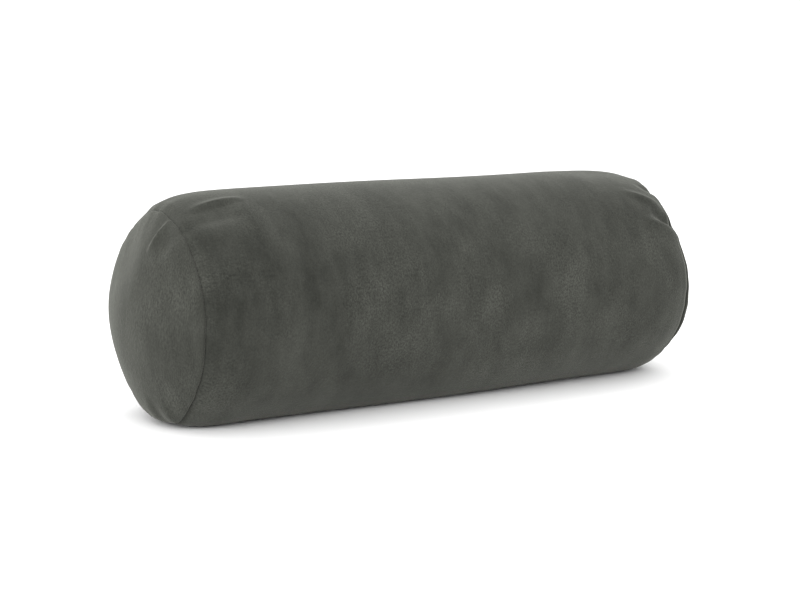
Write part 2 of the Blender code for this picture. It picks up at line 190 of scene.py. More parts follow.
# %% [markdown]
# ## From formula to mesh
#
# A shape could be pushed and pulled by hand, or cut from primitives. A formula is exact, and the same
# formula serves every layer. One helper turns its grid of points into a mesh. It takes three arrays,
# x, y and z, of the same shape. Neighbouring points make the corners of a face. If the grid goes all
# the way round, its last column joins its first, and no seam is left open. Each point also gets a
# place on the flat cloth, in metres, which is the UV map that a weave or a pile follows.


# %% Grid to object
def grid_object(name, x, y, z, flat=None, around=False, closed_rows=False, caps=()):
    """Points [i, j] become an object; flat is (u, v) arrays in metres. around joins the last column to
    the first, closed_rows joins the last row to the first, and caps lists the rows, 0 or -1, that are
    closed to a middle point."""
    rows, columns = x.shape
    points = np.stack([x, y, z], axis=-1).reshape(-1, 3)
    i, j = np.meshgrid(
        np.arange(rows if closed_rows else rows - 1),
        np.arange(columns if around else columns - 1),
        indexing="ij",
    )
    after_i, after_j = (i + 1) % rows, (j + 1) % columns
    corners = [i * columns + j, after_i * columns + j]
    corners += [after_i * columns + after_j, i * columns + after_j]
    faces = np.stack(corners, axis=-1).reshape(-1, 4).tolist()
    for row in caps:
        ring = np.arange(columns) + (0 if row == 0 else (rows - 1) * columns)
        pole = np.full(columns, len(points))
        order = (ring, np.roll(ring, -1)) if row == 0 else (np.roll(ring, -1), ring)
        faces += np.stack([*order, pole], axis=-1).tolist()
        points = np.vstack([points, points[ring].mean(axis=0)])
    mesh = bpy.data.meshes.new(name)
    mesh.from_pydata(points.tolist(), [], faces)
    if flat is not None:
        corner_points = np.empty(len(mesh.loops), dtype=np.int32)
        mesh.loops.foreach_get("vertex_index", corner_points)
        on_cloth = np.stack([np.broadcast_to(f, x.shape).reshape(-1) for f in flat], axis=-1)
        for row in caps:
            ring = on_cloth[:columns] if row == 0 else on_cloth[(rows - 1) * columns : rows * columns]
            on_cloth = np.vstack([on_cloth, ring.mean(axis=0)])
        layer = mesh.uv_layers.new(name="cloth")
        layer.data.foreach_set("uv", on_cloth[corner_points].astype(np.float32).reshape(-1))
    mesh.shade_smooth()
    obj = bpy.data.objects.new(name, mesh)
    bpy.context.scene.collection.objects.link(obj)
    return obj


def outward(obj):
    """Turns every face of a closed shape to look out, after its doubled points are merged."""
    shape = bmesh.new()
    shape.from_mesh(obj.data)
    bmesh.ops.remove_doubles(shape, verts=shape.verts, dist=1e-6)
    bmesh.ops.recalc_face_normals(shape, faces=shape.faces)
    shape.to_mesh(obj.data)
    shape.free()
    return obj


# %% [markdown]
# ## Materials
#
# Each finish is a small graph of nodes. It could be wired by hand in the shader editor. In a script, a
# few helpers keep it short: one starts a material, and each of the others adds a node and returns its
# output, so that a graph reads like a sum. Patterns read Object coordinates, which are metres from the
# pillow's origin, or the cloth's own UV map, so they stay on the cloth when the pillow is turned.


# %% Material helpers
def finish(name, roughness, metallic=0.0, sheen=0.0, sheen_roughness=0.5, tint=(1, 1, 1)):
    """A new material and its shader, with the constants set on the shader's own sockets."""
    made = bpy.data.materials.new(name)
    made.use_nodes = True
    shader = made.node_tree.nodes["Principled BSDF"]
    shader.inputs["Roughness"].default_value = roughness
    shader.inputs["Metallic"].default_value = metallic
    shader.inputs["Sheen Weight"].default_value = sheen
    shader.inputs["Sheen Roughness"].default_value = sheen_roughness
    shader.inputs["Sheen Tint"].default_value = (*tint, 1)
    return made, shader


def coordinates(tree, kind="Object", stretch=(1, 1, 1), turn=0.0, shift=(0, 0, 0)):
    """Coordinates in metres, stretched, turned about Z and shifted before a texture reads them."""
    source = tree.nodes.new("ShaderNodeTexCoord")
    mapping = tree.nodes.new("ShaderNodeMapping")
    mapping.inputs["Scale"].default_value = stretch
    mapping.inputs["Rotation"].default_value = (0, 0, turn)
    mapping.inputs["Location"].default_value = shift
    tree.links.new(source.outputs[kind], mapping.inputs["Vector"])
    return mapping.outputs["Vector"]


def noise(tree, vector, per_metre, detail=3.0, roughness=0.5):
    """A noise with this many bumps to the metre, from 0 to 1."""
    texture = tree.nodes.new("ShaderNodeTexNoise")
    texture.inputs["Scale"].default_value = per_metre
    texture.inputs["Detail"].default_value = detail
    texture.inputs["Roughness"].default_value = roughness
    tree.links.new(vector, texture.inputs["Vector"])
    return texture.outputs["Fac"]


def ramp(tree, value, stops):
    """Maps a value through (position, colour) stops; a colour may be one number, for grey."""
    node = tree.nodes.new("ShaderNodeValToRGB")
    for index, (position, color) in enumerate(stops):
        if index < 2:
            stop = node.color_ramp.elements[index]
            stop.position = position
        else:
            stop = node.color_ramp.elements.new(position)
        rgb = color if isinstance(color, tuple) else (color, color, color)
        stop.color = (*rgb, 1)
    tree.links.new(value, node.inputs["Fac"])
    return node.outputs["Color"]


def mixed(tree, mode, amount, first, second):
    """Blends two colours with a Mix node; amount, first and second may each be a socket instead."""
    node = tree.nodes.new("ShaderNodeMix")
    node.data_type = "RGBA"
    node.blend_type = mode
    for socket, value in zip((node.inputs[0], node.inputs[6], node.inputs[7]), (amount, first, second)):
        if isinstance(value, (int, float, tuple)):
            socket.default_value = (*value, 1) if isinstance(value, tuple) else value
        else:
            tree.links.new(value, socket)
    return node.outputs[2]


def math_node(tree, operation, first, second):
    """One sum on two values, each a number or a socket."""
    node = tree.nodes.new("ShaderNodeMath")
    node.operation = operation
    for socket, value in zip(node.inputs, (first, second)):
        if isinstance(value, (int, float)):
            socket.default_value = value
        else:
            tree.links.new(value, socket)
    return node.outputs[0]


def bump(tree, shader, height, metres, strength=1.0):
    """Raises the surface by a height from 0 to 1, times a distance in metres."""
    node = tree.nodes.new("ShaderNodeBump")
    node.inputs["Distance"].default_value = metres
    node.inputs["Strength"].default_value = strength
    tree.links.new(height, node.inputs["Height"])
    tree.links.new(node.outputs["Normal"], shader.inputs["Normal"])


# %% [markdown]
# ### Velvet
#
# Velvet is a dense lawn of short threads, the pile. It looks dark when you look into it and pale where
# the threads lean away or where you see it edge on. Three things make that here: sheen, which
# brightens the grazing edges; slow noise in the colour, for patches where a hand has brushed the pile
# one way or the other; and a very fine grain, for the pile's ends, in colour and in bump. Real hairs
# could be grown instead, but a million hairs a millimetre long would look the same from here.


# %% Velvet material
# Every velvet piece is also painted paler near the floor: painted light on the underside.
PATCH_SHIFT = (0.0, 0.53, 0.20)  # which part of the endless noise lies on the pillow
PAINTED_LIGHT_UP_TO = 0.042  # height in metres where the painted light on the underside ends


def velvet_material(name, dark, light, underside_light, coordinate_turn=0.0):
    """Colour = dark to light by brushed patches, plus painted light on the underside, times a grain that
    is stronger in crushed places. The argument after the two colours is how far the painted light moves
    the underside from dark towards light, from 0 to 1. Bump = pile ends and soft marks. coordinate_turn
    turns the way in which the pile was brushed."""
    made, shader = finish(name, 0.95, sheen=0.175, sheen_roughness=0.42, tint=(0.94, 0.96, 0.87))
    shader.inputs["Specular IOR Level"].default_value = 0.12
    tree = made.node_tree
    solid = coordinates(tree)
    brushed_way = coordinates(tree, "UV", (2.0, 0.85, 1), turn=coordinate_turn)
    pile_way = coordinates(tree, "UV", (1.2, 0.8, 1), turn=coordinate_turn)
    patches = noise(tree, coordinates(tree, shift=PATCH_SHIFT), 10, detail=4, roughness=0.62)
    strokes = noise(tree, brushed_way, 24, detail=6, roughness=0.68)
    crushed = noise(tree, solid, 17, detail=3, roughness=0.6)
    grain = noise(tree, pile_way, 560, detail=3, roughness=0.8)
    place = tree.nodes.new("ShaderNodeSeparateXYZ")
    tree.links.new(solid, place.inputs[0])
    decimetres_up = math_node(tree, "MULTIPLY", place.outputs[2], 10.0)
    # painted light on the underside: the colour is made paler in the lowest 42 mm of the pillow
    painted_underside_light = ramp(tree, decimetres_up, [(0.05, underside_light), (10 * PAINTED_LIGHT_UP_TO, 0.0)])
    by_patches = math_node(tree, "MULTIPLY", patches, 0.45)
    by_strokes = math_node(tree, "MULTIPLY", strokes, 0.55)
    brushed = math_node(tree, "ADD", by_patches, by_strokes)
    base = ramp(tree, math_node(tree, "ADD", brushed, painted_underside_light), [(0.32, dark), (0.70, light)])
    quiet = ramp(tree, grain, [(0.30, 0.76), (0.70, 1.24)])
    flecked = ramp(tree, grain, [(0.34, 0.60), (0.66, 1.62)])
    where = ramp(tree, crushed, [(0.42, 0.0), (0.66, 1.0)])
    speckle = mixed(tree, "MIX", where, quiet, flecked)
    color = mixed(tree, "MULTIPLY", 1.0, base, speckle)
    tree.links.new(color, shader.inputs["Base Color"])
    height = math_node(tree, "ADD", grain, math_node(tree, "MULTIPLY", strokes, 1.4))
    bump(tree, shader, height, 0.00045, 0.8)
    return made


# Each velvet: dark colour, light colour, and how strong the painted light on its underside is
velvet = velvet_material("velvet", (0.0182, 0.0190, 0.0160), (0.0490, 0.0505, 0.0437), 0.17)
velvet_ends = velvet_material(
    "velvet_ends", (0.0218, 0.0226, 0.0191), (0.0525, 0.0541, 0.0468), 0.11, math.radians(70)
)
print(f"velvet: {len(velvet.node_tree.nodes)} nodes, the ends turned by 70 degrees")

# %% [markdown]
# ### Woven cloth and thread
#
# The casing is plain-weave cotton and the zip tapes are tightly woven tape. A plain weave is a
# chequerboard of small humps: where one thread goes over, its neighbour goes under. It could be drawn
# with Blender's checker texture, but that has hard corners. Multiplying one sine along the cloth with
# one across it gives the humps with soft sides. A thread is two strands twisted, so its bump is
# slanted stripes.


# %% Weave and thread materials
def weave(tree, threads_per_metre):
    """Height of a plain weave: sine along times sine across, brought to 0 to 1."""
    place = tree.nodes.new("ShaderNodeSeparateXYZ")
    tree.links.new(coordinates(tree, "UV"), place.inputs[0])
    waves = []
    for axis in (0, 1):
        turns = math_node(tree, "MULTIPLY", place.outputs[axis], math.pi * threads_per_metre)
        waves.append(math_node(tree, "SINE", turns, 0.0))
    product = math_node(tree, "MULTIPLY", waves[0], waves[1])
    return math_node(tree, "ADD", math_node(tree, "MULTIPLY", product, 0.5), 0.5)


def woven_material(name, low, high, threads_per_metre, depth, roughness, sheen=0.1):
    """Colour = low between the threads to high on top of them, which is painted shade between the threads,
    times a noise drawn out along the threads, because no two are evenly thick. Bump = the weave."""
    made, shader = finish(name, roughness, sheen=sheen)
    tree = made.node_tree
    humps = weave(tree, threads_per_metre)
    uneven = noise(tree, coordinates(tree, "UV", (1, 0.15, 1)), threads_per_metre * 0.5, 2)
    # painted shade: darker between the threads, lighter on top of them
    color = ramp(tree, humps, [(0.1, low), (0.8, high)])
    shade = ramp(tree, uneven, [(0.3, 0.86), (0.7, 1.1)])
    tree.links.new(mixed(tree, "MULTIPLY", 1.0, color, shade), shader.inputs["Base Color"])
    bump(tree, shader, humps, depth, 0.8)
    return made


def thread_material(name, dark, light, strands_per_metre):
    """Slanted stripes, one for each twist of the strands: a sine of the way along plus the way round. Its
    colour is painted shade, dark in the grooves between the strands.
    """
    made, shader = finish(name, 0.6, sheen=0.15)
    tree = made.node_tree
    place = tree.nodes.new("ShaderNodeSeparateXYZ")
    tree.links.new(coordinates(tree, "UV"), place.inputs[0])
    slanted = math_node(tree, "ADD", place.outputs[0], place.outputs[1])
    turns = math_node(tree, "MULTIPLY", slanted, 2 * math.pi * strands_per_metre)
    half_wave = math_node(tree, "MULTIPLY", math_node(tree, "SINE", turns, 0.0), 0.5)
    wave = math_node(tree, "ADD", half_wave, 0.5)
    # painted shade: dark in the grooves of the twist, light on the strands
    tree.links.new(ramp(tree, wave, [(0.1, dark), (0.75, light)]), shader.inputs["Base Color"])
    bump(tree, shader, wave, 0.00015, 0.8)
    return made


# Each weave: dark, the painted shade between the threads, light on top of them, threads to the metre,
# depth, roughness
cotton = woven_material("casing_cotton", (0.52, 0.49, 0.43), (0.80, 0.78, 0.72), 1100, 0.0002, 0.85)
tape_weave = woven_material("tape_weave", (0.016, 0.017, 0.015), (0.055, 0.057, 0.052), 1500, 0.0002, 0.7)
label_weave = woven_material("label_satin", (0.72, 0.72, 0.70), (0.88, 0.88, 0.86), 3200, 0.00005, 0.4)
dark_thread = thread_material("dark_thread", (0.022, 0.023, 0.020), (0.075, 0.078, 0.070), 1500)
pale_thread = thread_material("pale_thread", (0.55, 0.52, 0.46), (0.84, 0.82, 0.77), 1800)
weave_nodes, thread_nodes = len(cotton.node_tree.nodes), len(pale_thread.node_tree.nodes)
print(f"three weaves of {weave_nodes} nodes each, and two threads of {thread_nodes}")

# %% [markdown]
# ### Filling, nylon and metal
#
# Wadding is a tangle of fine fibres. They could be hairs, but they are packed flat, so stretched noise
# in its bump and colour is enough. Foam is thousands of tiny open cells, which a Voronoi texture draws
# far more cheaply than a volume would. The zip's coils are nylon, smooth and a little glossy. Its slider
# is plated a dark grey, and one noise sets both its colour and its roughness, as wear does.


# %% Filling, nylon and metal materials
def wadding_material():
    """Long fibres from noise stretched two ways, one over the other. The colour is darker where they
    lie low, which is painted shade between the fibres.
    """
    made, shader = finish("wadding", 0.95, sheen=0.3, sheen_roughness=0.6)
    tree = made.node_tree
    fibres = noise(tree, coordinates(tree, "Object", (0.25, 1.6, 1.0), 0.5), 420, 5, 0.7)
    crossing = noise(tree, coordinates(tree, "Object", (1.5, 0.3, 1.0), -0.4), 380, 5, 0.7)
    height = math_node(tree, "ADD", fibres, crossing)
    # painted shade: darker where the fibres lie low
    color = ramp(tree, math_node(tree, "MULTIPLY", height, 0.5), [(0.35, (0.70, 0.70, 0.68)), (0.6, 0.90)])
    tree.links.new(color, shader.inputs["Base Color"])
    bump(tree, shader, height, 0.0012, 0.9)
    return made


def foam_material():
    """Open cells: dark where a Voronoi cell's middle is near, which is painted shade in its hollow, and
    pale along its walls.
    """
    made, shader = finish("foam", 0.95)
    tree = made.node_tree
    cells = tree.nodes.new("ShaderNodeTexVoronoi")
    cells.inputs["Scale"].default_value = 900
    tree.links.new(coordinates(tree), cells.inputs["Vector"])
    yellowed = noise(tree, coordinates(tree), 9, 3)
    # painted shade in the cell hollows, and the foam's pale colour on the walls
    walls_and_hollow_shade = ramp(tree, cells.outputs["Distance"], [(0.1, (0.50, 0.44, 0.28)), (0.5, (0.86, 0.80, 0.62))])
    aged = ramp(tree, yellowed, [(0.3, 0.92), (0.7, 1.05)])
    tree.links.new(mixed(tree, "MULTIPLY", 1.0, walls_and_hollow_shade, aged), shader.inputs["Base Color"])
    bump(tree, shader, cells.outputs["Distance"], 0.0006, 0.9)
    return made


def nylon_material():
    """Dark nylon with slight draw marks along the wire."""
    made, shader = finish("zip_nylon", 0.32)
    tree = made.node_tree
    marks = noise(tree, coordinates(tree), 1800, 3)
    color = ramp(tree, marks, [(0.3, (0.020, 0.021, 0.019)), (0.7, (0.040, 0.042, 0.038))])
    tree.links.new(color, shader.inputs["Base Color"])
    bump(tree, shader, marks, 0.00003, 0.5)
    return made


def plated_material():
    """Dark plated metal: rubbed patches are brighter and smoother, with hairline scratches."""
    made, shader = finish("zip_metal", 0.3, metallic=1.0)
    tree = made.node_tree
    worn = noise(tree, coordinates(tree), 320, 4, 0.6)
    hairlines = noise(tree, coordinates(tree, "Object", (0.12, 2.5, 2.5)), 2600, 2)
    color = ramp(tree, worn, [(0.35, (0.17, 0.17, 0.175)), (0.7, (0.27, 0.27, 0.28))])
    tree.links.new(color, shader.inputs["Base Color"])
    tree.links.new(ramp(tree, worn, [(0.3, 0.36), (0.7, 0.27)]), shader.inputs["Roughness"])
    bump(tree, shader, hairlines, 0.00002, 0.4)
    return made


wadding_fibre, foam_cells = wadding_material(), foam_material()
nylon, plated = nylon_material(), plated_material()
print(f"{len(bpy.data.materials)} materials so far, those of the solids included")

# %% [markdown]
# ### Dressing a piece
#
# Each finished piece needs three things: its material, the moving body that carries it, and the plain
# solids that it stands for, which are then hidden.


# %% Dress a piece
def dress(obj, material, body="pillow", replaces=()):
    """Gives a new piece its material and its body, and hides the solids it replaces."""
    obj.data.materials.clear()
    obj.data.materials.append(material)
    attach(obj, body)
    if replaces:
        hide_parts(*replaces)
    return obj


# %% [markdown]
# ## The shape of a stuffed tube
#
# Every round layer, from the velvet to the wadding, is the same form at a different depth. It starts
# as a cylinder whose radius draws in near the end seams. Two presses then flatten it: the floor from
# below, and the zip's slider, which needs room at the back. A press is a limit on how far a point may
# stand out in one direction, rounded off so that it leaves no edge.
#
# Real stuffed cloth is never quite even, so waves and folds are added to the radius. They could come
# from a cloth simulation, but a simulation puts its folds where it likes. Here each fold is placed one
# by one, as a soft ridge or valley along a short line on the unrolled cloth.
#
# An end seam isn't a perfect circle in one plane either. Where the filling has slipped away from it, it
# is pulled in along the pillow, and where the filling pushes, it hangs out a little.


# %% The plain stuffed form
def soft_limit(value, most, rounding):
    """The smaller of value and most, with the corner between them rounded off."""
    return (value + most - np.sqrt((value - most) ** 2 + rounding**2)) / 2


def press(y, z, angle, level, rounding):
    """Keeps points (y, z), measured from the axis, from standing further out than level that way."""
    out = y * math.cos(angle) + z * math.sin(angle)
    moved = soft_limit(out, level, rounding) - out
    return y + moved * math.cos(angle), z + moved * math.sin(angle)


DRAW_POWER = 12.4  # a higher power keeps the tube straight for longer


def drawn_radius(x):
    """Full in the middle, less towards the seams by a high power of the distance along."""
    return RADIUS - DRAWN_IN * np.abs(x / HALF) ** DRAW_POWER


near_seam_mm = (RADIUS - drawn_radius(HALF - 0.02)) * 1e3
print(f"drawn in {near_seam_mm:.1f} mm at 20 mm from a seam, {DRAWN_IN * 1e3:.1f} mm at the seam")

# %% [markdown]
# ### Folds
#
# A fold is a bump on the unrolled tube. Along its line it swells and fades like half a sine wave.
# Across, it falls off as a bell curve, steep on one side and gentle on the other, because cloth that
# is pushed together leans over. Valleys are folds with a negative height.


# %% Folds in the cloth
def fold(along, across, start, end, height, steep, gentle):
    """Height of one fold at cloth points (along, across), in metres. Half a sine between start and end,
    times a bell curve that is steep above the line and gentle below it."""
    start, end = np.array(start), np.array(end)
    length = np.linalg.norm(end - start)
    way = (end - start) / length
    ahead = ((along - start[0]) * way[0] + (across - start[1]) * way[1]) / length
    aside = (across - start[1]) * way[0] - (along - start[0]) * way[1]
    swell = np.sin(math.pi * np.clip(ahead, 0, 1)) ** 1.2
    width = np.where(aside > 0, steep, gentle)
    return height * swell * np.exp(-((aside / width) ** 2))


def tube_point(along_mm, degrees):
    """A place on the tube's cloth: millimetres along X, and degrees round from the back, upwards."""
    return along_mm / 1000, math.radians(degrees) * RADIUS


# Each fold: start, end, height, width of the steep side, width of the gentle side
TUBE_FOLDS = [
    # the crease on top beside the left seam, with its dent below and a soft ridge round the tube
    (tube_point(-243, 112), tube_point(-184, 108.5), 0.0036, 0.0021, 0.0058),
    (tube_point(-252, 123), tube_point(-190, 120), -0.0030, 0.0080, 0.0180),
    (tube_point(-200, 106), tube_point(-182, 156), 0.0010, 0.0080, 0.0110),
    # soft dents that run from the left seam along the front
    (tube_point(-249, 158), tube_point(-178, 163), -0.0017, 0.0060, 0.0100),
    (tube_point(-249, 174), tube_point(-210, 174), -0.0011, 0.0050, 0.0080),
    (tube_point(-249, 137), tube_point(-200, 141), -0.0010, 0.0080, 0.0100),
    # the deep pucker at the top of the right seam, between two ridges
    (tube_point(258, 147), tube_point(213, 138), -0.0056, 0.0060, 0.0060),
    (tube_point(240, 134), tube_point(194, 121), 0.0025, 0.0042, 0.0050),
    (tube_point(256, 154), tube_point(200, 141), 0.0027, 0.0036, 0.0090),
    (tube_point(258, 119), tube_point(222, 113), -0.0026, 0.0050, 0.0060),
    # broad soft places where the filling has settled down towards both corners
    (tube_point(-285, 248), tube_point(-195, 250), 0.0032, 0.0320, 0.0300),
    (tube_point(285, 240), tube_point(190, 242), 0.0012, 0.0300, 0.0300),
    (tube_point(-285, 62), tube_point(-205, 62), -0.0018, 0.0300, 0.0300),
    (tube_point(245, 100), tube_point(150, 97), -0.0019, 0.0200, 0.0200),
    (tube_point(252, 208), tube_point(190, 202), 0.0014, 0.0120, 0.0120),
]
print(f"{len(TUBE_FOLDS)} folds, up to {max(abs(f[2]) for f in TUBE_FOLDS) * 1e3:.1f} mm high or deep")

# %% [markdown]
# ### Waves, gathers and leaning seams
#
# The broad unevenness is a sum of a few slow waves with random sizes. The random numbers start from a
# fixed seed, so the pillow comes out the same every time. Gathers are quicker waves round a seam, where
# the machine fed in a little too much cloth. A seam's lean is a bell curve of the angle round it.

# %% Waves, gathers and leans
random = np.random.default_rng(11)
# Each wave: radians to the metre along, waves round, phase, size
WAVES = [
    (random.uniform(8, 26), random.integers(1, 5), random.uniform(0, 6.28), random.uniform(0.2, 0.5))
    for _ in range(9)
]
# Each gather: waves round, phase, size
GATHERS = [
    (int(count), random.uniform(0, 6.28), random.uniform(0.5, 1.0)) for count in (9, 14, 17, 23, 31)
]
WAVE_HEIGHT, GATHER_HEIGHT, GATHER_FADE = 0.0007, 0.00034, 0.022
SEAM_DIP, DIP_FADE = 0.0028, 0.0028  # how deep the thread pulls an end seam in, and how far that shows
RIM_HEIGHT, RIM_PLACE, RIM_WIDTH = 0.0006, 0.0065, 0.0035  # the low rim over a seam's allowance
ZIP_CALM = 0.026  # how near the zip its stiff tapes keep the cloth even
OTHER_END = 1.3  # moves the gathers of the right end round, so that the two ends differ
# Each lean: side, angle in degrees, spread in degrees, distance outwards
LEANS = [(1, 146, 27, -0.0056), (1, 212, 34, 0.0006), (-1, 250, 30, -0.0010), (-1, 62, 30, -0.0044)]


def lean(turn, side):
    """How far a seam leans outwards along X: a sum of bell curves of the angle round the pillow."""
    degrees = np.degrees(np.mod(turn, 2 * math.pi))
    return sum(
        far * np.exp(-(((degrees - angle) / spread) ** 2)) * (np.sign(side) == at)
        for at, angle, spread, far in LEANS
    )


def tube_relief(x, turn):
    """How far the tube's cloth stands off its plain form: broad waves, gathers at the seams, folds, and
    a low rim over each seam's allowance. A gather is a wave round the tube that dies away from the
    seam."""
    relief = np.zeros(np.broadcast(x, turn).shape)
    for per_metre, rounds, phase, size in WAVES:
        relief += WAVE_HEIGHT * size * np.sin(per_metre * x + rounds * turn + phase)
    from_seam = HALF - np.abs(x)
    side_phase = np.where(x > 0, OTHER_END, 0.0)
    for count, phase, size in GATHERS:
        wave = np.sin(count * turn + phase + side_phase * count)
        relief += GATHER_HEIGHT * size * wave * np.exp(-from_seam / GATHER_FADE)
    across = np.mod(turn, 2 * math.pi) * RADIUS
    for start, end, height, steep, gentle in TUBE_FOLDS:
        relief += fold(x, across, start, end, height, steep, gentle)
    from_zip = np.minimum(np.abs(turn - ZIP_ANGLE), np.abs(turn - ZIP_ANGLE - 2 * math.pi)) * RADIUS
    relief *= 1 - np.exp(-((from_zip / ZIP_CALM) ** 2))
    relief += RIM_HEIGHT * np.exp(-(((from_seam - RIM_PLACE) / RIM_WIDTH) ** 2))
    return relief - SEAM_DIP * np.exp(-np.maximum(from_seam, 0) / DIP_FADE)


sampled = tube_relief(np.linspace(-HALF, HALF, 200)[:, None], np.linspace(0, 2 * math.pi, 200))
print(f"the cloth stands {sampled.min() * 1e3:.1f} to {sampled.max() * 1e3:.1f} mm off its plain form")

# %% [markdown]
# ### All of it together
#
# One function now gives every round layer. Cloth follows each fold and gives way to the floor. Foam
# doesn't, so the deeper a layer lies, the less it gives.

# %% The stuffed tube
GIVES_ABOVE, FIRM_BELOW = 0.004, 0.0196  # depths: cloth above the first gives fully, foam not at all
FLOOR_ROUNDING, ZIP_ROUNDING = 0.004, 0.001
LEAN_FROM = 0.222  # how far along the pillow the cloth begins to follow a leaning seam


def smooth_step(value, start, stop):
    """0 before start, 1 after stop, and between them an S-shaped curve, 3 t squared less 2 t cubed."""
    share = np.clip((value - start) / (stop - start), 0, 1)
    return share * share * (3 - 2 * share)


def stuffed_tube(x, turn, depth, zip_level=None):
    """Points of the tube's cloth at a depth below the velvet's outer face. The radius is the drawn
    radius plus the relief. The floor presses it from below, and zip_level limits it at the zip. Near a
    seam the points also move along X by the seam's lean, which grows with an S-shaped step."""
    gives = np.clip(1 - (depth - GIVES_ABOVE) / (FIRM_BELOW - GIVES_ABOVE), 0, 1)
    radius = drawn_radius(x) - depth + tube_relief(x, turn) * gives
    y, z = radius * np.cos(turn), radius * np.sin(turn)
    floor_level = RADIUS - depth - (RADIUS - AXIS_HEIGHT) * gives
    y, z = press(y, z, -math.pi / 2, floor_level, FLOOR_ROUNDING)
    if zip_level is not None:
        y, z = press(y, z, ZIP_ANGLE, zip_level, ZIP_ROUNDING)
    leaning = lean(turn, x) * smooth_step(np.abs(x), LEAN_FROM, HALF)
    return x + np.sign(x) * leaning + 0 * y, y, z + AXIS_HEIGHT


# %% [markdown]
# ## The velvet tube
#
# The tube is one rectangle of velvet, rolled up. Its four edges are turned under, as a sewer does it. A
# Solidify modifier would give it a cut edge like a board's. So the grid has extra rows and columns that
# roll over the edge and run back inside. The back edges stay apart along the zip and close to a tight
# seam beyond it. Rows are close together near the seams, where the cloth bends most.


# %% Rows and columns of the tube
def spaced(start, stop, count, crowd):
    """count numbers from start to stop, crowded towards both ends by a sine if crowd is over 0."""
    even = np.linspace(0, 1, count)
    return start + (stop - start) * (even - crowd * np.sin(2 * math.pi * even) / (2 * math.pi))


def hemmed(edge, opposite, hem, roll, count, crowd):
    """Places and depths along a strip whose two edges are rolled under: a hem running out to the edge,
    half a turn of radius roll over it, the strip itself, and the same again at the opposite edge."""
    turn = np.linspace(-math.pi / 2, math.pi / 2, 7)
    run = np.linspace(hem, roll * 1.2, 4)
    main = spaced(edge + 1.1 * roll, opposite - 1.1 * roll, count, crowd)
    place = [edge + run, edge + roll - roll * np.cos(turn), main]
    depth = [0 * run + 2 * roll, roll - roll * np.sin(turn), 0 * main]
    place += [opposite - roll + roll * np.cos(turn[::-1]), opposite - run[::-1]]
    depth += [roll - roll * np.sin(turn[::-1]), 0 * run + 2 * roll]
    return np.concatenate(place), np.concatenate(depth)


SLIT_AT_ZIP, SLIT_IN_SEAM = 0.0042, 0.00035  # half the slit's width


def slit_half(x):
    """Half the slit's width down the back: wide at the zip, and from 6 to 12 mm past the zip it closes
    to a tight seam by an S-shaped step."""
    closing = smooth_step(np.abs(x), ZIP_HALF + 0.006, ZIP_HALF + 0.012)
    return SLIT_AT_ZIP + (SLIT_IN_SEAM - SLIT_AT_ZIP) * closing


ROLL = 0.0007  # radius of a turned edge
along, along_depth = hemmed(-HALF, HALF, SEAM_ALLOWANCE, ROLL, 196, 0.62)
around, around_depth = hemmed(0.0, 2 * math.pi * RADIUS, ZIP_HEM, ROLL, 300, 0.55)
x_grid, across_grid = np.meshgrid(along, around, indexing="ij")

# Opens the slit: the cloth is squeezed evenly towards the front
half_slit = slit_half(x_grid)
squeezed = half_slit + across_grid * (1 - half_slit / (math.pi * RADIUS))
turn_grid = ZIP_ANGLE + squeezed / RADIUS
depth_grid = along_depth[:, None] + around_depth[None, :]
print(f"grid of {len(along)} rows along and {len(around)} columns round")

# %% [markdown]
# Rows of top stitching hold the zip, and pull the velvet down a little into a shallow channel. The
# closed part of the back seam does the same. A bump texture would show the channels from straight
# above, but not in the outline, so they are part of the shape.


# %% Make the velvet tube
STITCH_OFF = 0.0082  # from the middle of the zip
CHANNEL_DEPTH, CHANNEL_WIDTH = 0.00045, 0.0011
CHANNEL_STOP, CHANNEL_FADE = 0.002, 0.003  # how far before the tapes' ends, and over what length
BACK_DIP, BACK_DIP_FADE = 0.0016, 0.0022
DIP_START, DIP_RISE = 0.009, 0.006  # how far past the opening, and over what length


def stitched_channels(x, across):
    """Depth of the channels under both stitch rows, a bell curve across each, and of the dip along the
    closed seam, which fades away from it."""
    near = np.minimum(across, 2 * math.pi * RADIUS - across)
    row = CHANNEL_DEPTH * np.exp(-(((near - STITCH_OFF) / CHANNEL_WIDTH) ** 2))
    along_tape = np.clip((TAPE_HALF - CHANNEL_STOP - np.abs(x)) / CHANNEL_FADE, 0, 1)
    seam = BACK_DIP * np.exp(-np.maximum(near, 0) / BACK_DIP_FADE)
    beyond = np.clip((np.abs(x) - ZIP_HALF - DIP_START) / DIP_RISE, 0, 1)
    return row * along_tape + seam * beyond


tube_depth = depth_grid + stitched_channels(x_grid, squeezed)
points = stuffed_tube(x_grid, turn_grid, tube_depth)
velvet_tube = grid_object("velvet_tube", *points, flat=(x_grid, across_grid))
velvet_tube.data.flip_normals()
dress(velvet_tube, velvet, replaces=["cover_tube"])

# %% [markdown]
# ## The end panels
#
# Each end is a round piece of velvet that the filling pushes out into a low dome. A flattened sphere
# would be the quick way, but its edge meets the tube too softly, and it has no folds of its own. So the
# dome gets a formula too, on a polar grid: swing runs from the seam to the middle of the panel, and
# turn runs round. The filling sags, so the dome is fuller below its middle than above. Its folds are
# placed on the panel seen flat, in y and z.


# %% The stuffed end
SAG = 0.0034  # how much fuller the dome is below its middle
DOME_POWER = 1.6  # 1 would be a half ellipse, and more is flatter towards the seam
EDGE_FADE, END_DIP_FADE = 0.014, 0.0026  # how far the tube's relief and the thread's dip reach in
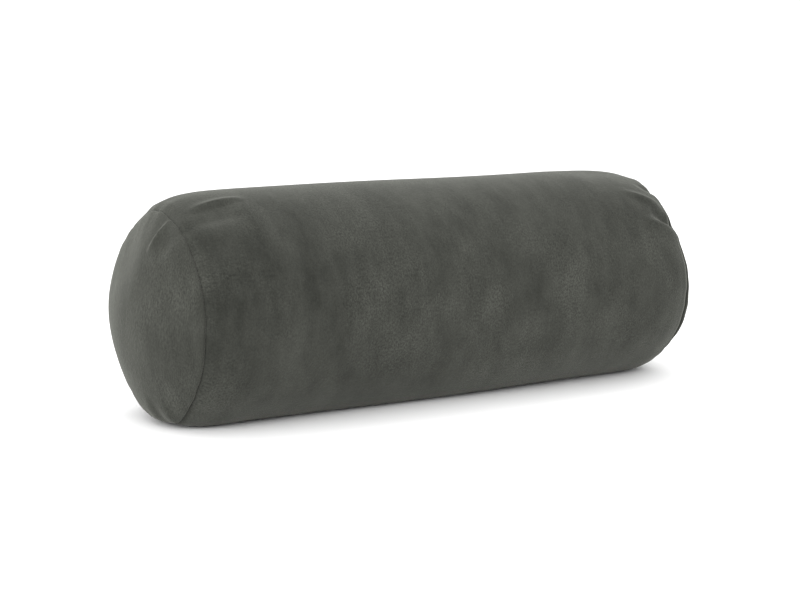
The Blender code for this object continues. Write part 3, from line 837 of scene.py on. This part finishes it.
# For each side: start, end, height, width of the steep side, width of the gentle side
END_FOLDS = {
    -1: [
        # the crease that runs down from the top of the seam, with its dent
        ((-0.0310, 0.0850), (-0.0140, 0.0540), 0.0030, 0.0022, 0.0048),
        ((-0.0450, 0.0760), (-0.0290, 0.0480), -0.0016, 0.0080, 0.0070),
        # small puckers where the end meets the floor
        ((-0.0300, -0.0880), (-0.0340, -0.0600), 0.0013, 0.0040, 0.0060),
        ((-0.0120, -0.0880), (-0.0120, -0.0580), 0.0012, 0.0050, 0.0060),
        ((-0.0200, -0.0880), (-0.0220, -0.0620), -0.0010, 0.0050, 0.0050),
        # broad hollows towards the back, and a full place low at the front
        ((0.0700, 0.0100), (0.0050, 0.0660), -0.0022, 0.0240, 0.0240),
        ((0.0880, -0.0150), (0.0050, -0.0860), -0.0028, 0.0240, 0.0240),
        ((-0.0620, -0.0700), (0.0340, -0.0760), 0.0024, 0.0120, 0.0160),
    ],
    1: [
        # a full place low at the front, and three short puckers at the seam
        ((-0.0880, 0.0000), (-0.0560, -0.0660), 0.0016, 0.0130, 0.0130),
        ((-0.0720, 0.0500), (-0.0480, 0.0330), 0.0020, 0.0040, 0.0070),
        ((0.0300, -0.0830), (0.0210, -0.0560), 0.0020, 0.0050, 0.0060),
        ((0.0560, 0.0640), (0.0400, 0.0450), 0.0018, 0.0040, 0.0060),
    ],
}


def stuffed_end(swing, turn, side, depth):
    """Points of an end's cloth at a depth below the velvet's face. The radius falls as the cosine of
    swing, and the dome rises as a power of its sine. Sag and folds push it along its own slope, and its
    edge follows the tube's relief and lean, so that the two meet in one seam."""
    radius = (SEAM_RADIUS - depth) * np.cos(swing)
    rise = (CROWN - depth) * np.sin(swing) ** DOME_POWER
    y, z = radius * np.cos(turn), radius * np.sin(turn)
    relief = -SAG * np.sin(turn) * np.sin(2 * swing)
    for start, end, height, steep, gentle in END_FOLDS[side]:
        relief = relief + fold(y, z, start, end, height, steep, gentle)
    from_seam = SEAM_RADIUS * (1 - np.cos(swing)) + rise
    at_seam = tube_relief(side * HALF + 0 * turn, turn) + SEAM_DIP
    relief = relief + at_seam * np.exp(-from_seam / EDGE_FADE)
    dip = SEAM_DIP * np.exp(-from_seam / END_DIP_FADE)
    rise = rise + relief * np.sin(swing)
    radius = radius + relief * np.cos(swing) - dip
    y, z = radius * np.cos(turn), radius * np.sin(turn)
    y, z = press(y, z, -math.pi / 2, AXIS_HEIGHT - depth, FLOOR_ROUNDING)
    return side * (HALF + rise + lean(turn, side) * np.cos(swing) ** 2), y, z + AXIS_HEIGHT


# %% [markdown]
# Inside the cover, the panel's edge turns in along the tube as a seam allowance. It could be a separate
# ring, but on the real panel it is the same cloth. So it is the first few rows of the same grid: they
# run outwards to the seam, and the dome goes on from there.


# %% Make the end panels
def end_panel(name, side, depth, allowance_depth, rows, columns):
    """A dome with its seam allowance: allowance rows at their own depth under the tube's face, then the
    dome from the seam to its middle, closed there to one point. A power of the row's number crowds the
    rows at the seam. Laid flat, a row's circle shrinks evenly with swing."""
    turn = np.linspace(0, 2 * math.pi, columns, endpoint=False)
    swing = math.pi / 2 * np.linspace(0.004, 0.995, rows) ** 1.15
    turned_in = np.linspace(SEAM_ALLOWANCE, 0.0005, 8)
    x_in, turn_in = np.meshgrid(side * (HALF - turned_in), turn, indexing="ij")
    hem = stuffed_tube(x_in, turn_in, allowance_depth + 0 * x_in)
    swing_grid, turn_grid = np.meshgrid(swing, turn, indexing="ij")
    dome = stuffed_end(swing_grid, turn_grid, side, depth)
    points = [np.vstack(pair) for pair in zip(hem, dome)]
    reach = SEAM_RADIUS * (math.pi / 2 - swing) / (math.pi / 2) * CROWN_EASE
    reach = np.concatenate([reach[0] + turned_in, reach])[:, None]
    flat = (reach * np.cos(turn), reach * np.sin(turn))
    panel = grid_object(name, *points, flat=flat, around=True, caps=(-1,))
    if side > 0:
        panel.data.flip_normals()
    return panel


SIDES = (("left", -1), ("right", 1))
for label, side in SIDES:
    panel = end_panel(f"velvet_end_{label}", side, 0.0, 2 * VELVET + LOOSE, 110, 300)
    dress(panel, velvet_ends, replaces=[f"cover_end_{label}"])

# %% [markdown]
# ## Thread
#
# A thread is a thin tube that follows a line. A curve with a bevel would do for one, but a seam has
# hundreds of stitches. So one function makes any number of them at once: it takes an array of lines and
# sets a ring of corners square to the line at each of their points. A stitch is such a tube that rises
# out of the cloth and dives back in, so its line is half a sine wave.


# %% Strands and stitches
def strands(name, lines, up, thick, sides=6, closed=False):
    """Tubes along lines, an array (count, points, 3). up is a direction that isn't along them. The
    corners of each ring are the line's point plus thick / 2 times a circle in its square plane."""
    lines = np.asarray(lines, dtype=float)
    if closed:
        ahead = np.roll(lines, -1, axis=1) - np.roll(lines, 1, axis=1)
    else:
        ahead = np.gradient(lines, axis=1)
    ahead /= np.linalg.norm(ahead, axis=-1, keepdims=True)
    sideways = np.cross(ahead, np.broadcast_to(up, lines.shape))
    sideways /= np.linalg.norm(sideways, axis=-1, keepdims=True)
    upright = np.cross(sideways, ahead)
    spin = np.linspace(0, 2 * math.pi, sides, endpoint=False)[:, None]
    ring = np.cos(spin) * sideways[:, :, None] + np.sin(spin) * upright[:, :, None]
    count, length = lines.shape[:2]
    points = (lines[:, :, None] + thick / 2 * ring).reshape(-1, 3)
    n, i, j = np.meshgrid(
        np.arange(count), np.arange(length if closed else length - 1), np.arange(sides), indexing="ij"
    )
    after_i, after_j = (i + 1) % length, (j + 1) % sides

    def corner(row, column):
        return (n * length + row) * sides + column

    faces = [corner(i, j), corner(after_i, j), corner(after_i, after_j), corner(i, after_j)]
    faces = np.stack(faces, axis=-1).reshape(-1, 4).tolist()
    if not closed:
        first = (np.arange(count) * length * sides)[:, None] + np.arange(sides)
        faces += first.tolist() + (first + (length - 1) * sides)[:, ::-1].tolist()
    mesh = bpy.data.meshes.new(name)
    mesh.from_pydata(points.tolist(), [], faces)
    steps = np.linalg.norm(np.diff(lines, axis=1), axis=-1)
    run = np.concatenate([np.zeros((count, 1)), np.cumsum(steps, axis=1)], axis=1)
    u = np.broadcast_to(run[:, :, None], (count, length, sides))
    v = np.broadcast_to(np.arange(sides) * math.pi * thick / sides, u.shape)
    corner_points = np.empty(len(mesh.loops), dtype=np.int32)
    mesh.loops.foreach_get("vertex_index", corner_points)
    on_thread = np.stack([u, v], axis=-1).reshape(-1, 2)[corner_points]
    mesh.uv_layers.new(name="cloth").data.foreach_set("uv", on_thread.astype(np.float32).reshape(-1))
    mesh.shade_smooth()
    obj = bpy.data.objects.new(name, mesh)
    bpy.context.scene.collection.objects.link(obj)
    return outward(obj)


SUNK_ENDS = 0.7  # how deep a stitch's ends dive, as a share of its thickness


def stitches(name, starts, ends, outwards, thick, rise):
    """One stitch from each start to each end, along half a sine: its middle is lifted by rise along
    outwards, and its ends are sunk by SUNK_ENDS of its thickness."""
    share = np.linspace(0, 1, 7)[None, :, None]
    lift = rise * np.sin(math.pi * share) - thick * SUNK_ENDS * (1 - np.sin(math.pi * share))
    lines = starts[:, None] + share * (ends - starts)[:, None] + lift * outwards[:, None]
    return strands(name, lines, outwards[:, None], thick, sides=6)


STITCH, STITCH_GAP = 0.0029, 0.0004
print(f"{0.1 / (STITCH + STITCH_GAP):.0f} stitches to 10 cm")

# %% [markdown]
# The end seams are sewn from inside, so only the bottom of the groove shows a little thread. Inside,
# the raw edges are overlocked: thread is wound over them in a long spiral that follows the edge round.
# Both could be painted on, but the groove would then look empty from close by. The rings take their
# points from the tube's own formula, so they lean and dip with the seam.


# %% Sew the end seams
def ring_of_stitches(name, side, depth, past, thick, material, replaces):
    """Stitches laid end to end round an end seam, at a depth below it and a distance past it."""
    radius = SEAM_RADIUS - SEAM_DIP - depth
    count = int(2 * math.pi * radius / (STITCH + STITCH_GAP))
    begin = np.linspace(0, 2 * math.pi, count, endpoint=False)

    def at(turn):
        x, y, z = stuffed_tube(np.full(count, side * HALF), turn, depth)
        return np.stack([x + side * past, y, z], axis=-1)

    outwards = np.stack([0 * begin, np.cos(begin), np.sin(begin)], axis=-1)
    sewn = stitches(name, at(begin), at(begin + STITCH / radius), outwards, thick, 0.0001)
    return dress(sewn, material, replaces=replaces)


OVERLOCK_LOOPS, LOOP_POINTS = 260, 10
OVERLOCK_BACK, OVERLOCK_DEPTH = 0.0108, 0.0033  # its middle, behind the seam and below the surface
OVERLOCK_ALONG, OVERLOCK_ACROSS = 0.0012, 0.0011  # half the size of a loop


def overlock(name, side, replaces):
    """One closed strand: a small ellipse round the raw edge, wound once for each of its loops."""
    wind = np.linspace(0, 2 * math.pi * OVERLOCK_LOOPS, OVERLOCK_LOOPS * LOOP_POINTS, endpoint=False)
    x = side * (HALF - OVERLOCK_BACK + OVERLOCK_ALONG * np.cos(wind))
    depth = OVERLOCK_DEPTH - OVERLOCK_ACROSS * np.sin(wind)
    line = np.stack(stuffed_tube(x, wind / OVERLOCK_LOOPS, depth), axis=-1)[None]
    wound = strands(name, line, (side, 0, 0.01), 0.0004, sides=5, closed=True)
    return dress(wound, dark_thread, replaces=replaces)


for label, side in SIDES:
    ring = ring_of_stitches(
        f"end_stitches_{label}", side, depth=0.0006, past=0.0003, thick=0.0006,
        material=dark_thread, replaces=[f"end_seam_thread_{label}"],
    )
    overlock(f"end_overlock_{label}", side, [f"edge_overlock_{label}"])
print(f"end seams: {len(ring.data.vertices)} points of thread in each ring")

# %% [markdown]
# ## The zip
#
# Two woven tapes lie side by side under the velvet's folded edges, and along each tape's inner edge
# runs a nylon coil. The whole zip lies on the pillow's slanting back. It could be built flat and then
# turned into place, but a finished piece keeps its place in its mesh. So one helper turns a place on
# the zip into a place on the pillow.


# %% Zip places
def at_zip(x, across, out):
    """Points by their place on the zip: x along it, across it, up the pillow's back, and out from the
    axis. The last two are turned about the axis by the zip's angle."""
    y = out * math.cos(ZIP_ANGLE) - across * math.sin(ZIP_ANGLE)
    z = out * math.sin(ZIP_ANGLE) + across * math.cos(ZIP_ANGLE)
    return np.stack(np.broadcast_arrays(x, y, AXIS_HEIGHT + z), axis=-1)


def curved_strip(name, x, across, out, flat):
    """A strip that lies round the pillow's back: across is measured along the curve, so the angle is
    across over the tape's radius, and out is the strip's distance from the axis. Its faces look out if
    across falls from column to column. flat is its UV map."""
    angle = across / TAPE_OUT
    spots = at_zip(x, out * np.sin(angle), out * np.cos(angle))
    return grid_object(name, *np.moveaxis(spots, -1, 0), flat=flat)


TAPE_OUT = RADIUS - 2 * VELVET - LOOSE  # the tapes' outer faces, from the axis
TAPE_EDGE, TAPE_WIDTH, TAPE_THICK = 0.0007, 0.0135, 0.0006
RIB, RIBS = 0.0001, 3
COIL_PITCH, COIL_WIRE = 0.0014, 0.00068
HALVES = (("upper", 1), ("lower", -1))
print(f"tapes lie {(RADIUS - TAPE_OUT) * 1e3:.1f} mm under the velvet's face")

# %% [markdown]
# A tape is a narrow woven ribbon, with a few ribs where it is stiffened beside the coil. A flat plane
# would cut through the round back, so the ribbon bends with it. Its ribs are a cosine across the inner
# half. Solidify gives it a thickness, which suits it, because a tape's edges really are cut square.

# %% Weave the tapes
for label, up in HALVES:
    x, wide = np.meshgrid(np.linspace(-TAPE_HALF, TAPE_HALF, 120), np.linspace(0, 1, 15), indexing="ij")
    ribs = RIB * np.cos(2 * math.pi * RIBS * wide) * (wide < 0.5)
    out = drawn_radius(x) - RADIUS + TAPE_OUT + ribs - RIB
    across = up * (TAPE_EDGE + TAPE_WIDTH * wide)
    tape = curved_strip(f"tape_{label}", x, across, out, flat=(x, across))
    if up > 0:
        tape.data.flip_normals()
    thickness = tape.modifiers.new("thickness", "SOLIDIFY")
    thickness.thickness = TAPE_THICK - RIB
    thickness.offset = -1
    dress(tape, tape_weave, replaces=[f"zip_tape_{label}"])
print(f"tapes: {TAPE_WIDTH * 1e3:.1f} x {2 * TAPE_HALF * 1e3:.0f} mm each")

# %% [markdown]
# A coil is one long nylon wire wound into loops. The loops of one side sit between the loops of the
# other, and that is what holds the zip shut. Rows of separate teeth, made by an Array modifier, would
# be another kind of zip. So each coil is a flattened helix: a cosine across, a sine outwards and a
# steady run along, and the second is half a turn ahead of the first.

# %% Wind the coils
COIL_MIDDLE, COIL_ACROSS = 0.00095, 0.00115  # the helix's middle, and its half-width across the zip
COIL_RISE, COIL_OUT = 0.00105, 0.00041  # its middle above the tape, and its half-height
loops = int(2 * ZIP_HALF / COIL_PITCH)
for label, up in HALVES:
    wind = np.linspace(0, 2 * math.pi * loops, loops * 14)
    lead = 0.0 if up > 0 else math.pi
    x = -ZIP_HALF + COIL_WIRE / 2 + (2 * ZIP_HALF - COIL_WIRE) * wind / wind[-1]
    across = up * (COIL_MIDDLE + COIL_ACROSS * np.cos(wind + lead))
    out = TAPE_OUT + COIL_RISE + COIL_OUT * np.sin(wind + lead)
    coil = strands(f"coil_{label}", at_zip(x, across, out)[None], (1, 0, 0.02), COIL_WIRE, sides=6)
    dress(coil, nylon, replaces=[f"zip_coil_{label}"])
print(f"zip coils: {loops} loops each, {COIL_PITCH * 1e3:.1f} mm apart")

# %% [markdown]
# The slider, its pull and the stops are small castings and clips. Their solids already have the right
# shape, only with knife-sharp edges, which no casting has. They could be modelled again with rounded
# edges, but then they might no longer fit. So a copy is cleaned up, its flat faces are joined into one
# each, and a narrow bevel rounds the edges so that they catch the light.


# %% Round the metal parts
def rounded_copy(node, name, width):
    """A cleaned copy of a solid, with its sharp edges bevelled by a width in metres."""
    copy = bpy.data.objects.new(name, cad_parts[node].data.copy())
    bpy.context.scene.collection.objects.link(copy)
    shape = bmesh.new()
    shape.from_mesh(copy.data)
    bmesh.ops.remove_doubles(shape, verts=shape.verts, dist=2e-6)
    bmesh.ops.dissolve_limit(shape, angle_limit=math.radians(2), verts=shape.verts, edges=shape.edges)
    bmesh.ops.recalc_face_normals(shape, faces=shape.faces)
    shape.to_mesh(copy.data)
    shape.free()
    bevel = copy.modifiers.new("rounding", "BEVEL")
    bevel.width = width
    bevel.segments = 3
    bevel.angle_limit = math.radians(25)
    bevel.use_clamp_overlap = True
    copy.data.shade_smooth()
    return copy


# Each solid: the new piece's name, its body, the width of its rounding
METAL = {
    "zip_slider": ("slider_casting", "slider", 0.00018),
    "zip_pull": ("pull_casting", "pull", 0.00022),
    "zip_top_stop_upper": ("top_clip_upper", "pillow", 0.0003),
    "zip_top_stop_lower": ("top_clip_lower", "pillow", 0.0003),
    "zip_bottom_stop": ("bottom_clip", "pillow", 0.0003),
}
for node, (name, body, width) in METAL.items():
    dress(rounded_copy(node, name, width), plated, body, replaces=[node])
print(f"metal: {len(METAL)} parts with rounded edges")

# %% [markdown]
# Two rows of machine stitches hold the tapes to the velvet, and the closed ends of the back seam have
# short stitches deep in the join. An Array modifier could repeat one stitch, but here the rows have to
# follow the drawn-in ends. So the starts and ends of all stitches are worked out as two arrays.

# %% Sew in the zip
ROW_STOP = 0.005  # how far before the tapes' ends a row of stitches stops
BACK_START, BACK_STOP = 0.013, 0.002  # past the zip's opening, and before the end seam
ROW_DEPTH, BACK_DEPTH = 0.0003, 0.0026  # of the sewing line below the velvet's face, without its dips
begin = np.arange(-TAPE_HALF + ROW_STOP, TAPE_HALF - ROW_STOP - STITCH, STITCH + STITCH_GAP)
for label, up in HALVES:
    angle = up * STITCH_OFF / RADIUS
    out_of_cloth = at_zip(0, math.sin(angle), math.cos(angle)) - at_zip(0, 0, 0)
    ends = []
    for x in (begin, begin + STITCH):
        out = drawn_radius(x) - ROW_DEPTH
        ends.append(at_zip(x, out * math.sin(angle), out * math.cos(angle)))
    outwards = np.broadcast_to(out_of_cloth, ends[0].shape)
    row = stitches(f"zip_stitches_{label}", *ends, outwards, 0.00055, 0.00022)
    dress(row, dark_thread, replaces=[f"zip_stitching_{label}"])

STRAIGHT_OUT = at_zip(0, 0, 1) - at_zip(0, 0, 0)
for label, side in SIDES:
    x = side * np.arange(ZIP_HALF + BACK_START, HALF - BACK_STOP - STITCH, STITCH + STITCH_GAP)
    ends = [at_zip(p, 0, drawn_radius(p) - BACK_DEPTH) for p in (x, x + side * STITCH)]
    row = stitches(
        f"back_stitches_{label}", *ends, np.broadcast_to(STRAIGHT_OUT, ends[0].shape), 0.0005, 0.0001
    )
    dress(row, dark_thread, replaces=[f"back_seam_thread_{label}"])
print(f"{len(begin)} stitches along each tape, {len(x)} in each closed end of the back seam")

# %% [markdown]
# A care label is a satin ribbon, folded in half and sewn in under the lower tape, inside the cover. It
# carries no words here. Two flat strips would leave the fold open, so the ribbon is one grid whose
# path runs down the first layer, round the fold and back up the second.

# %% Fold the care label
label_low, label_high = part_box("care_label")
LABEL_WIDTH, LABEL_THICK = 0.0088, 0.0003
LABEL_START, LABEL_GAP = 0.0043, 0.00035  # from the zip's middle, and below the tape
FOLD_SHARE = 0.06  # of the path, on each side of the fold, where it rounds over
x, path = np.meshgrid(np.linspace(label_low[0], label_high[0], 40), np.linspace(0, 1, 33), indexing="ij")
down = np.minimum(path, 1 - path) * 2
layer = np.where(path < 0.5, 0.0, 1.0)
rounded = np.clip((FOLD_SHARE - np.abs(path - 0.5)) / FOLD_SHARE, 0, 1)
inwards = LABEL_GAP + LABEL_THICK * (layer * (1 - rounded) + 0.5 * rounded)
across = -(LABEL_START + LABEL_WIDTH * down)
unfolded = (x, path * 2 * LABEL_WIDTH)
care_label = curved_strip("blank_label", x, across, TAPE_OUT - TAPE_THICK - inwards, unfolded)
care_label.data.flip_normals()
dress(care_label, label_weave, replaces=["care_label"])

# %% [markdown]
# ## The inner pillow
#
# Under the velvet is a pillow of its own: a cotton casing with its own end seams, wadding wrapped
# round and packed into the ends, and a foam core cut as a plain roller. They could each be modelled
# afresh, but every layer takes its form from the one under it. So they are the same stuffed form at
# greater depths. The casing narrows near the ends to pass inside the velvet's allowances.

# %% Depths of the inner layers
CORE_HALF, CORE_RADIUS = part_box("foam_core")[1][:2]
CASING_STEP = 0.0033  # how much deeper the casing lies near the end seams
LABEL_ROOM = 2 * LABEL_THICK + 0.0010  # for the folded label, and some air, inside the tapes
INSERT_LEVEL = TAPE_OUT - TAPE_THICK - LABEL_ROOM - LOOSE
UNDER_VELVET = VELVET + LOOSE
WADDING_GAP = COTTON + LOOSE


def casing_depth(x):
    """Just under the velvet in the middle, and a step deeper near the seams: it is S-shaped, and runs
    from 50 to 20 mm before a seam."""
    return UNDER_VELVET + CASING_STEP * smooth_step(np.abs(x), HALF - 0.050, HALF - 0.020)


depths = [casing_depth(x) * 1e3 for x in (0, HALF)]
print(f"casing {depths[0]:.1f} mm deep in the middle, {depths[1]:.1f} mm at the seams")

# %% [markdown]
# The casing is sewn from plain cotton like the cover, but in thinner cloth and with pale thread. It
# shows only when the cover is off, so its grid is coarser. The last seam is closed by a row of
# stitches beside the zip, where the filling went in.

# %% Sew the cotton casing
x, turn = np.meshgrid(
    spaced(-HALF + 0.0006, HALF - 0.0006, 150, 0.6),
    np.linspace(0, 2 * math.pi, 220, endpoint=False),
    indexing="ij",
)
points = stuffed_tube(x, turn, casing_depth(x), INSERT_LEVEL)
casing = grid_object("cotton_tube", *points, flat=(x, turn * RADIUS), around=True)
casing.data.flip_normals()
dress(casing, cotton, replaces=["insert_casing_tube"])
hem_depth = UNDER_VELVET + CASING_STEP + 2 * COTTON
for label, side in SIDES:
    panel = end_panel(f"cotton_end_{label}", side, UNDER_VELVET, hem_depth, 60, 180)
    dress(panel, cotton, replaces=[f"insert_casing_end_{label}"])
    ring_of_stitches(
        f"cotton_stitches_{label}", side, depth=0.0052, past=-0.0003, thick=0.0004,
        material=pale_thread, replaces=[f"insert_seam_thread_{label}"],
    )

# %% Close the casing
CLOSING_PLACE = -0.0192  # from the middle of the zip, downwards
closing = np.arange(-ZIP_HALF, ZIP_HALF - STITCH, STITCH + STITCH_GAP)
ends = [at_zip(x, CLOSING_PLACE, INSERT_LEVEL + 0.0001) for x in (closing, closing + STITCH)]
outwards = np.broadcast_to(STRAIGHT_OUT, ends[0].shape)
row = stitches("closing_stitches", *ends, outwards, 0.0004, 0.0002)
dress(row, pale_thread, replaces=["insert_closing_seam"])
print(f"closing seam: {len(closing)} stitches")

# %% [markdown]
# The wadding is one thick roll round the core and a round pad in each end. Its fluff could be a cloud
# of hair, but it is packed so tightly that only its form and the grain of its fibres count. Each piece
# is a closed form. The roll's grid goes along its outside and back along its inside.

# %% Roll the wadding
turn = np.linspace(0, 2 * math.pi, 160, endpoint=False)
outer_x = spaced(-CORE_HALF, CORE_HALF, 90, 0.3)
inner_x = outer_x[::-1]
outer_depth = casing_depth(outer_x) + COTTON + WADDING_GAP
inner_depth = drawn_radius(inner_x) - CORE_RADIUS - LOOSE
x, turn_grid = np.meshgrid(np.concatenate([outer_x, inner_x]), turn, indexing="ij")
depth = np.concatenate([outer_depth, inner_depth])[:, None] + 0 * x
points = stuffed_tube(x, turn_grid, depth, INSERT_LEVEL - COTTON - WADDING_GAP)
roll = outward(grid_object("wadding_roll", *points, around=True, closed_rows=True))
dress(roll, wadding_fibre, replaces=["wadding_wrap"])
print(f"wadding: {outer_depth[45] * 1e3:.1f} to {inner_depth[45] * 1e3:.1f} mm under the velvet's face")

# %% [markdown]
# A pad fills the space between the core's flat end and the domed end of the casing. Its grid starts
# near the middle of its flat face, runs out to the shoulder, along it, and over the dome to the middle.

# %% Pack the ends
FACE_ROWS = 10
pad_depth = UNDER_VELVET + CASING_STEP + COTTON + WADDING_GAP
swing, dome_turn = np.meshgrid(math.pi / 2 * np.linspace(0.02, 0.99, 36), turn, indexing="ij")
for label, side in SIDES:
    x, turn_grid = np.meshgrid(side * np.linspace(CORE_HALF + LOOSE, HALF - 0.001, 16), turn, indexing="ij")
    shoulder = stuffed_tube(x, turn_grid, casing_depth(x) + COTTON + WADDING_GAP + LOOSE)
    share_out = np.linspace(0.05, 0.97, FACE_ROWS)[:, None]
    face = [
        np.broadcast_to(shoulder[0][:1], (FACE_ROWS, len(turn))),
        shoulder[1][:1] * share_out,
        AXIS_HEIGHT + (shoulder[2][:1] - AXIS_HEIGHT) * share_out,
    ]
    dome = stuffed_end(swing, dome_turn, side, pad_depth)
    points = [np.vstack(three) for three in zip(face, shoulder, dome)]
    pad = outward(grid_object(f"wadding_end_{label}_pad", *points, around=True, caps=(0, -1)))
    dress(pad, wadding_fibre, replaces=[f"wadding_end_{label}"])
print(f"pads: {len(pad.data.polygons)} faces each")

# %% [markdown]
# The core is a roller of firm foam, cut with a hot wire, which leaves its rims a little rounded. A
# cylinder with a bevel would do, and gives long thin faces that show as stripes. Here a profile is
# turned round the axis instead: out along one flat end, over its rounded rim, along the side, and the
# same in reverse.

# %% Cut the foam core
RIM_RADIUS = 0.006
over_rim = np.linspace(0, math.pi / 2, 8)
flat_end = np.linspace(0.06, 0.95, 8) * (CORE_RADIUS - RIM_RADIUS)
end_x = np.concatenate([np.full(8, CORE_HALF), CORE_HALF - RIM_RADIUS + RIM_RADIUS * np.cos(over_rim)])
end_r = np.concatenate([flat_end, CORE_RADIUS - RIM_RADIUS + RIM_RADIUS * np.sin(over_rim)])
side_x = np.linspace(CORE_HALF - RIM_RADIUS, -CORE_HALF + RIM_RADIUS, 60)[1:-1]
profile_x = np.concatenate([end_x, side_x, -end_x[::-1]])
profile_r = np.concatenate([end_r, np.full(len(side_x), CORE_RADIUS), end_r[::-1]])
x, turn_grid = np.meshgrid(profile_x, turn, indexing="ij")
y, z = profile_r[:, None] * np.cos(turn_grid), AXIS_HEIGHT + profile_r[:, None] * np.sin(turn_grid)
core = outward(grid_object("foam_roller", x, y, z, around=True, caps=(0, -1)))
dress(core, foam_cells, replaces=["foam_core"])
print(f"core: {2 * CORE_RADIUS * 1e3:.0f} mm across, {2 * CORE_HALF * 1e3:.0f} mm long")

# %% Measure and finish
bpy.context.view_layer.update()
dressed_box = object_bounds()
size = np.array(dressed_box[1]) - np.array(dressed_box[0])
print("dressed pillow:", " x ".join(f"{side * 1e3:.0f}" for side in size), "mm")
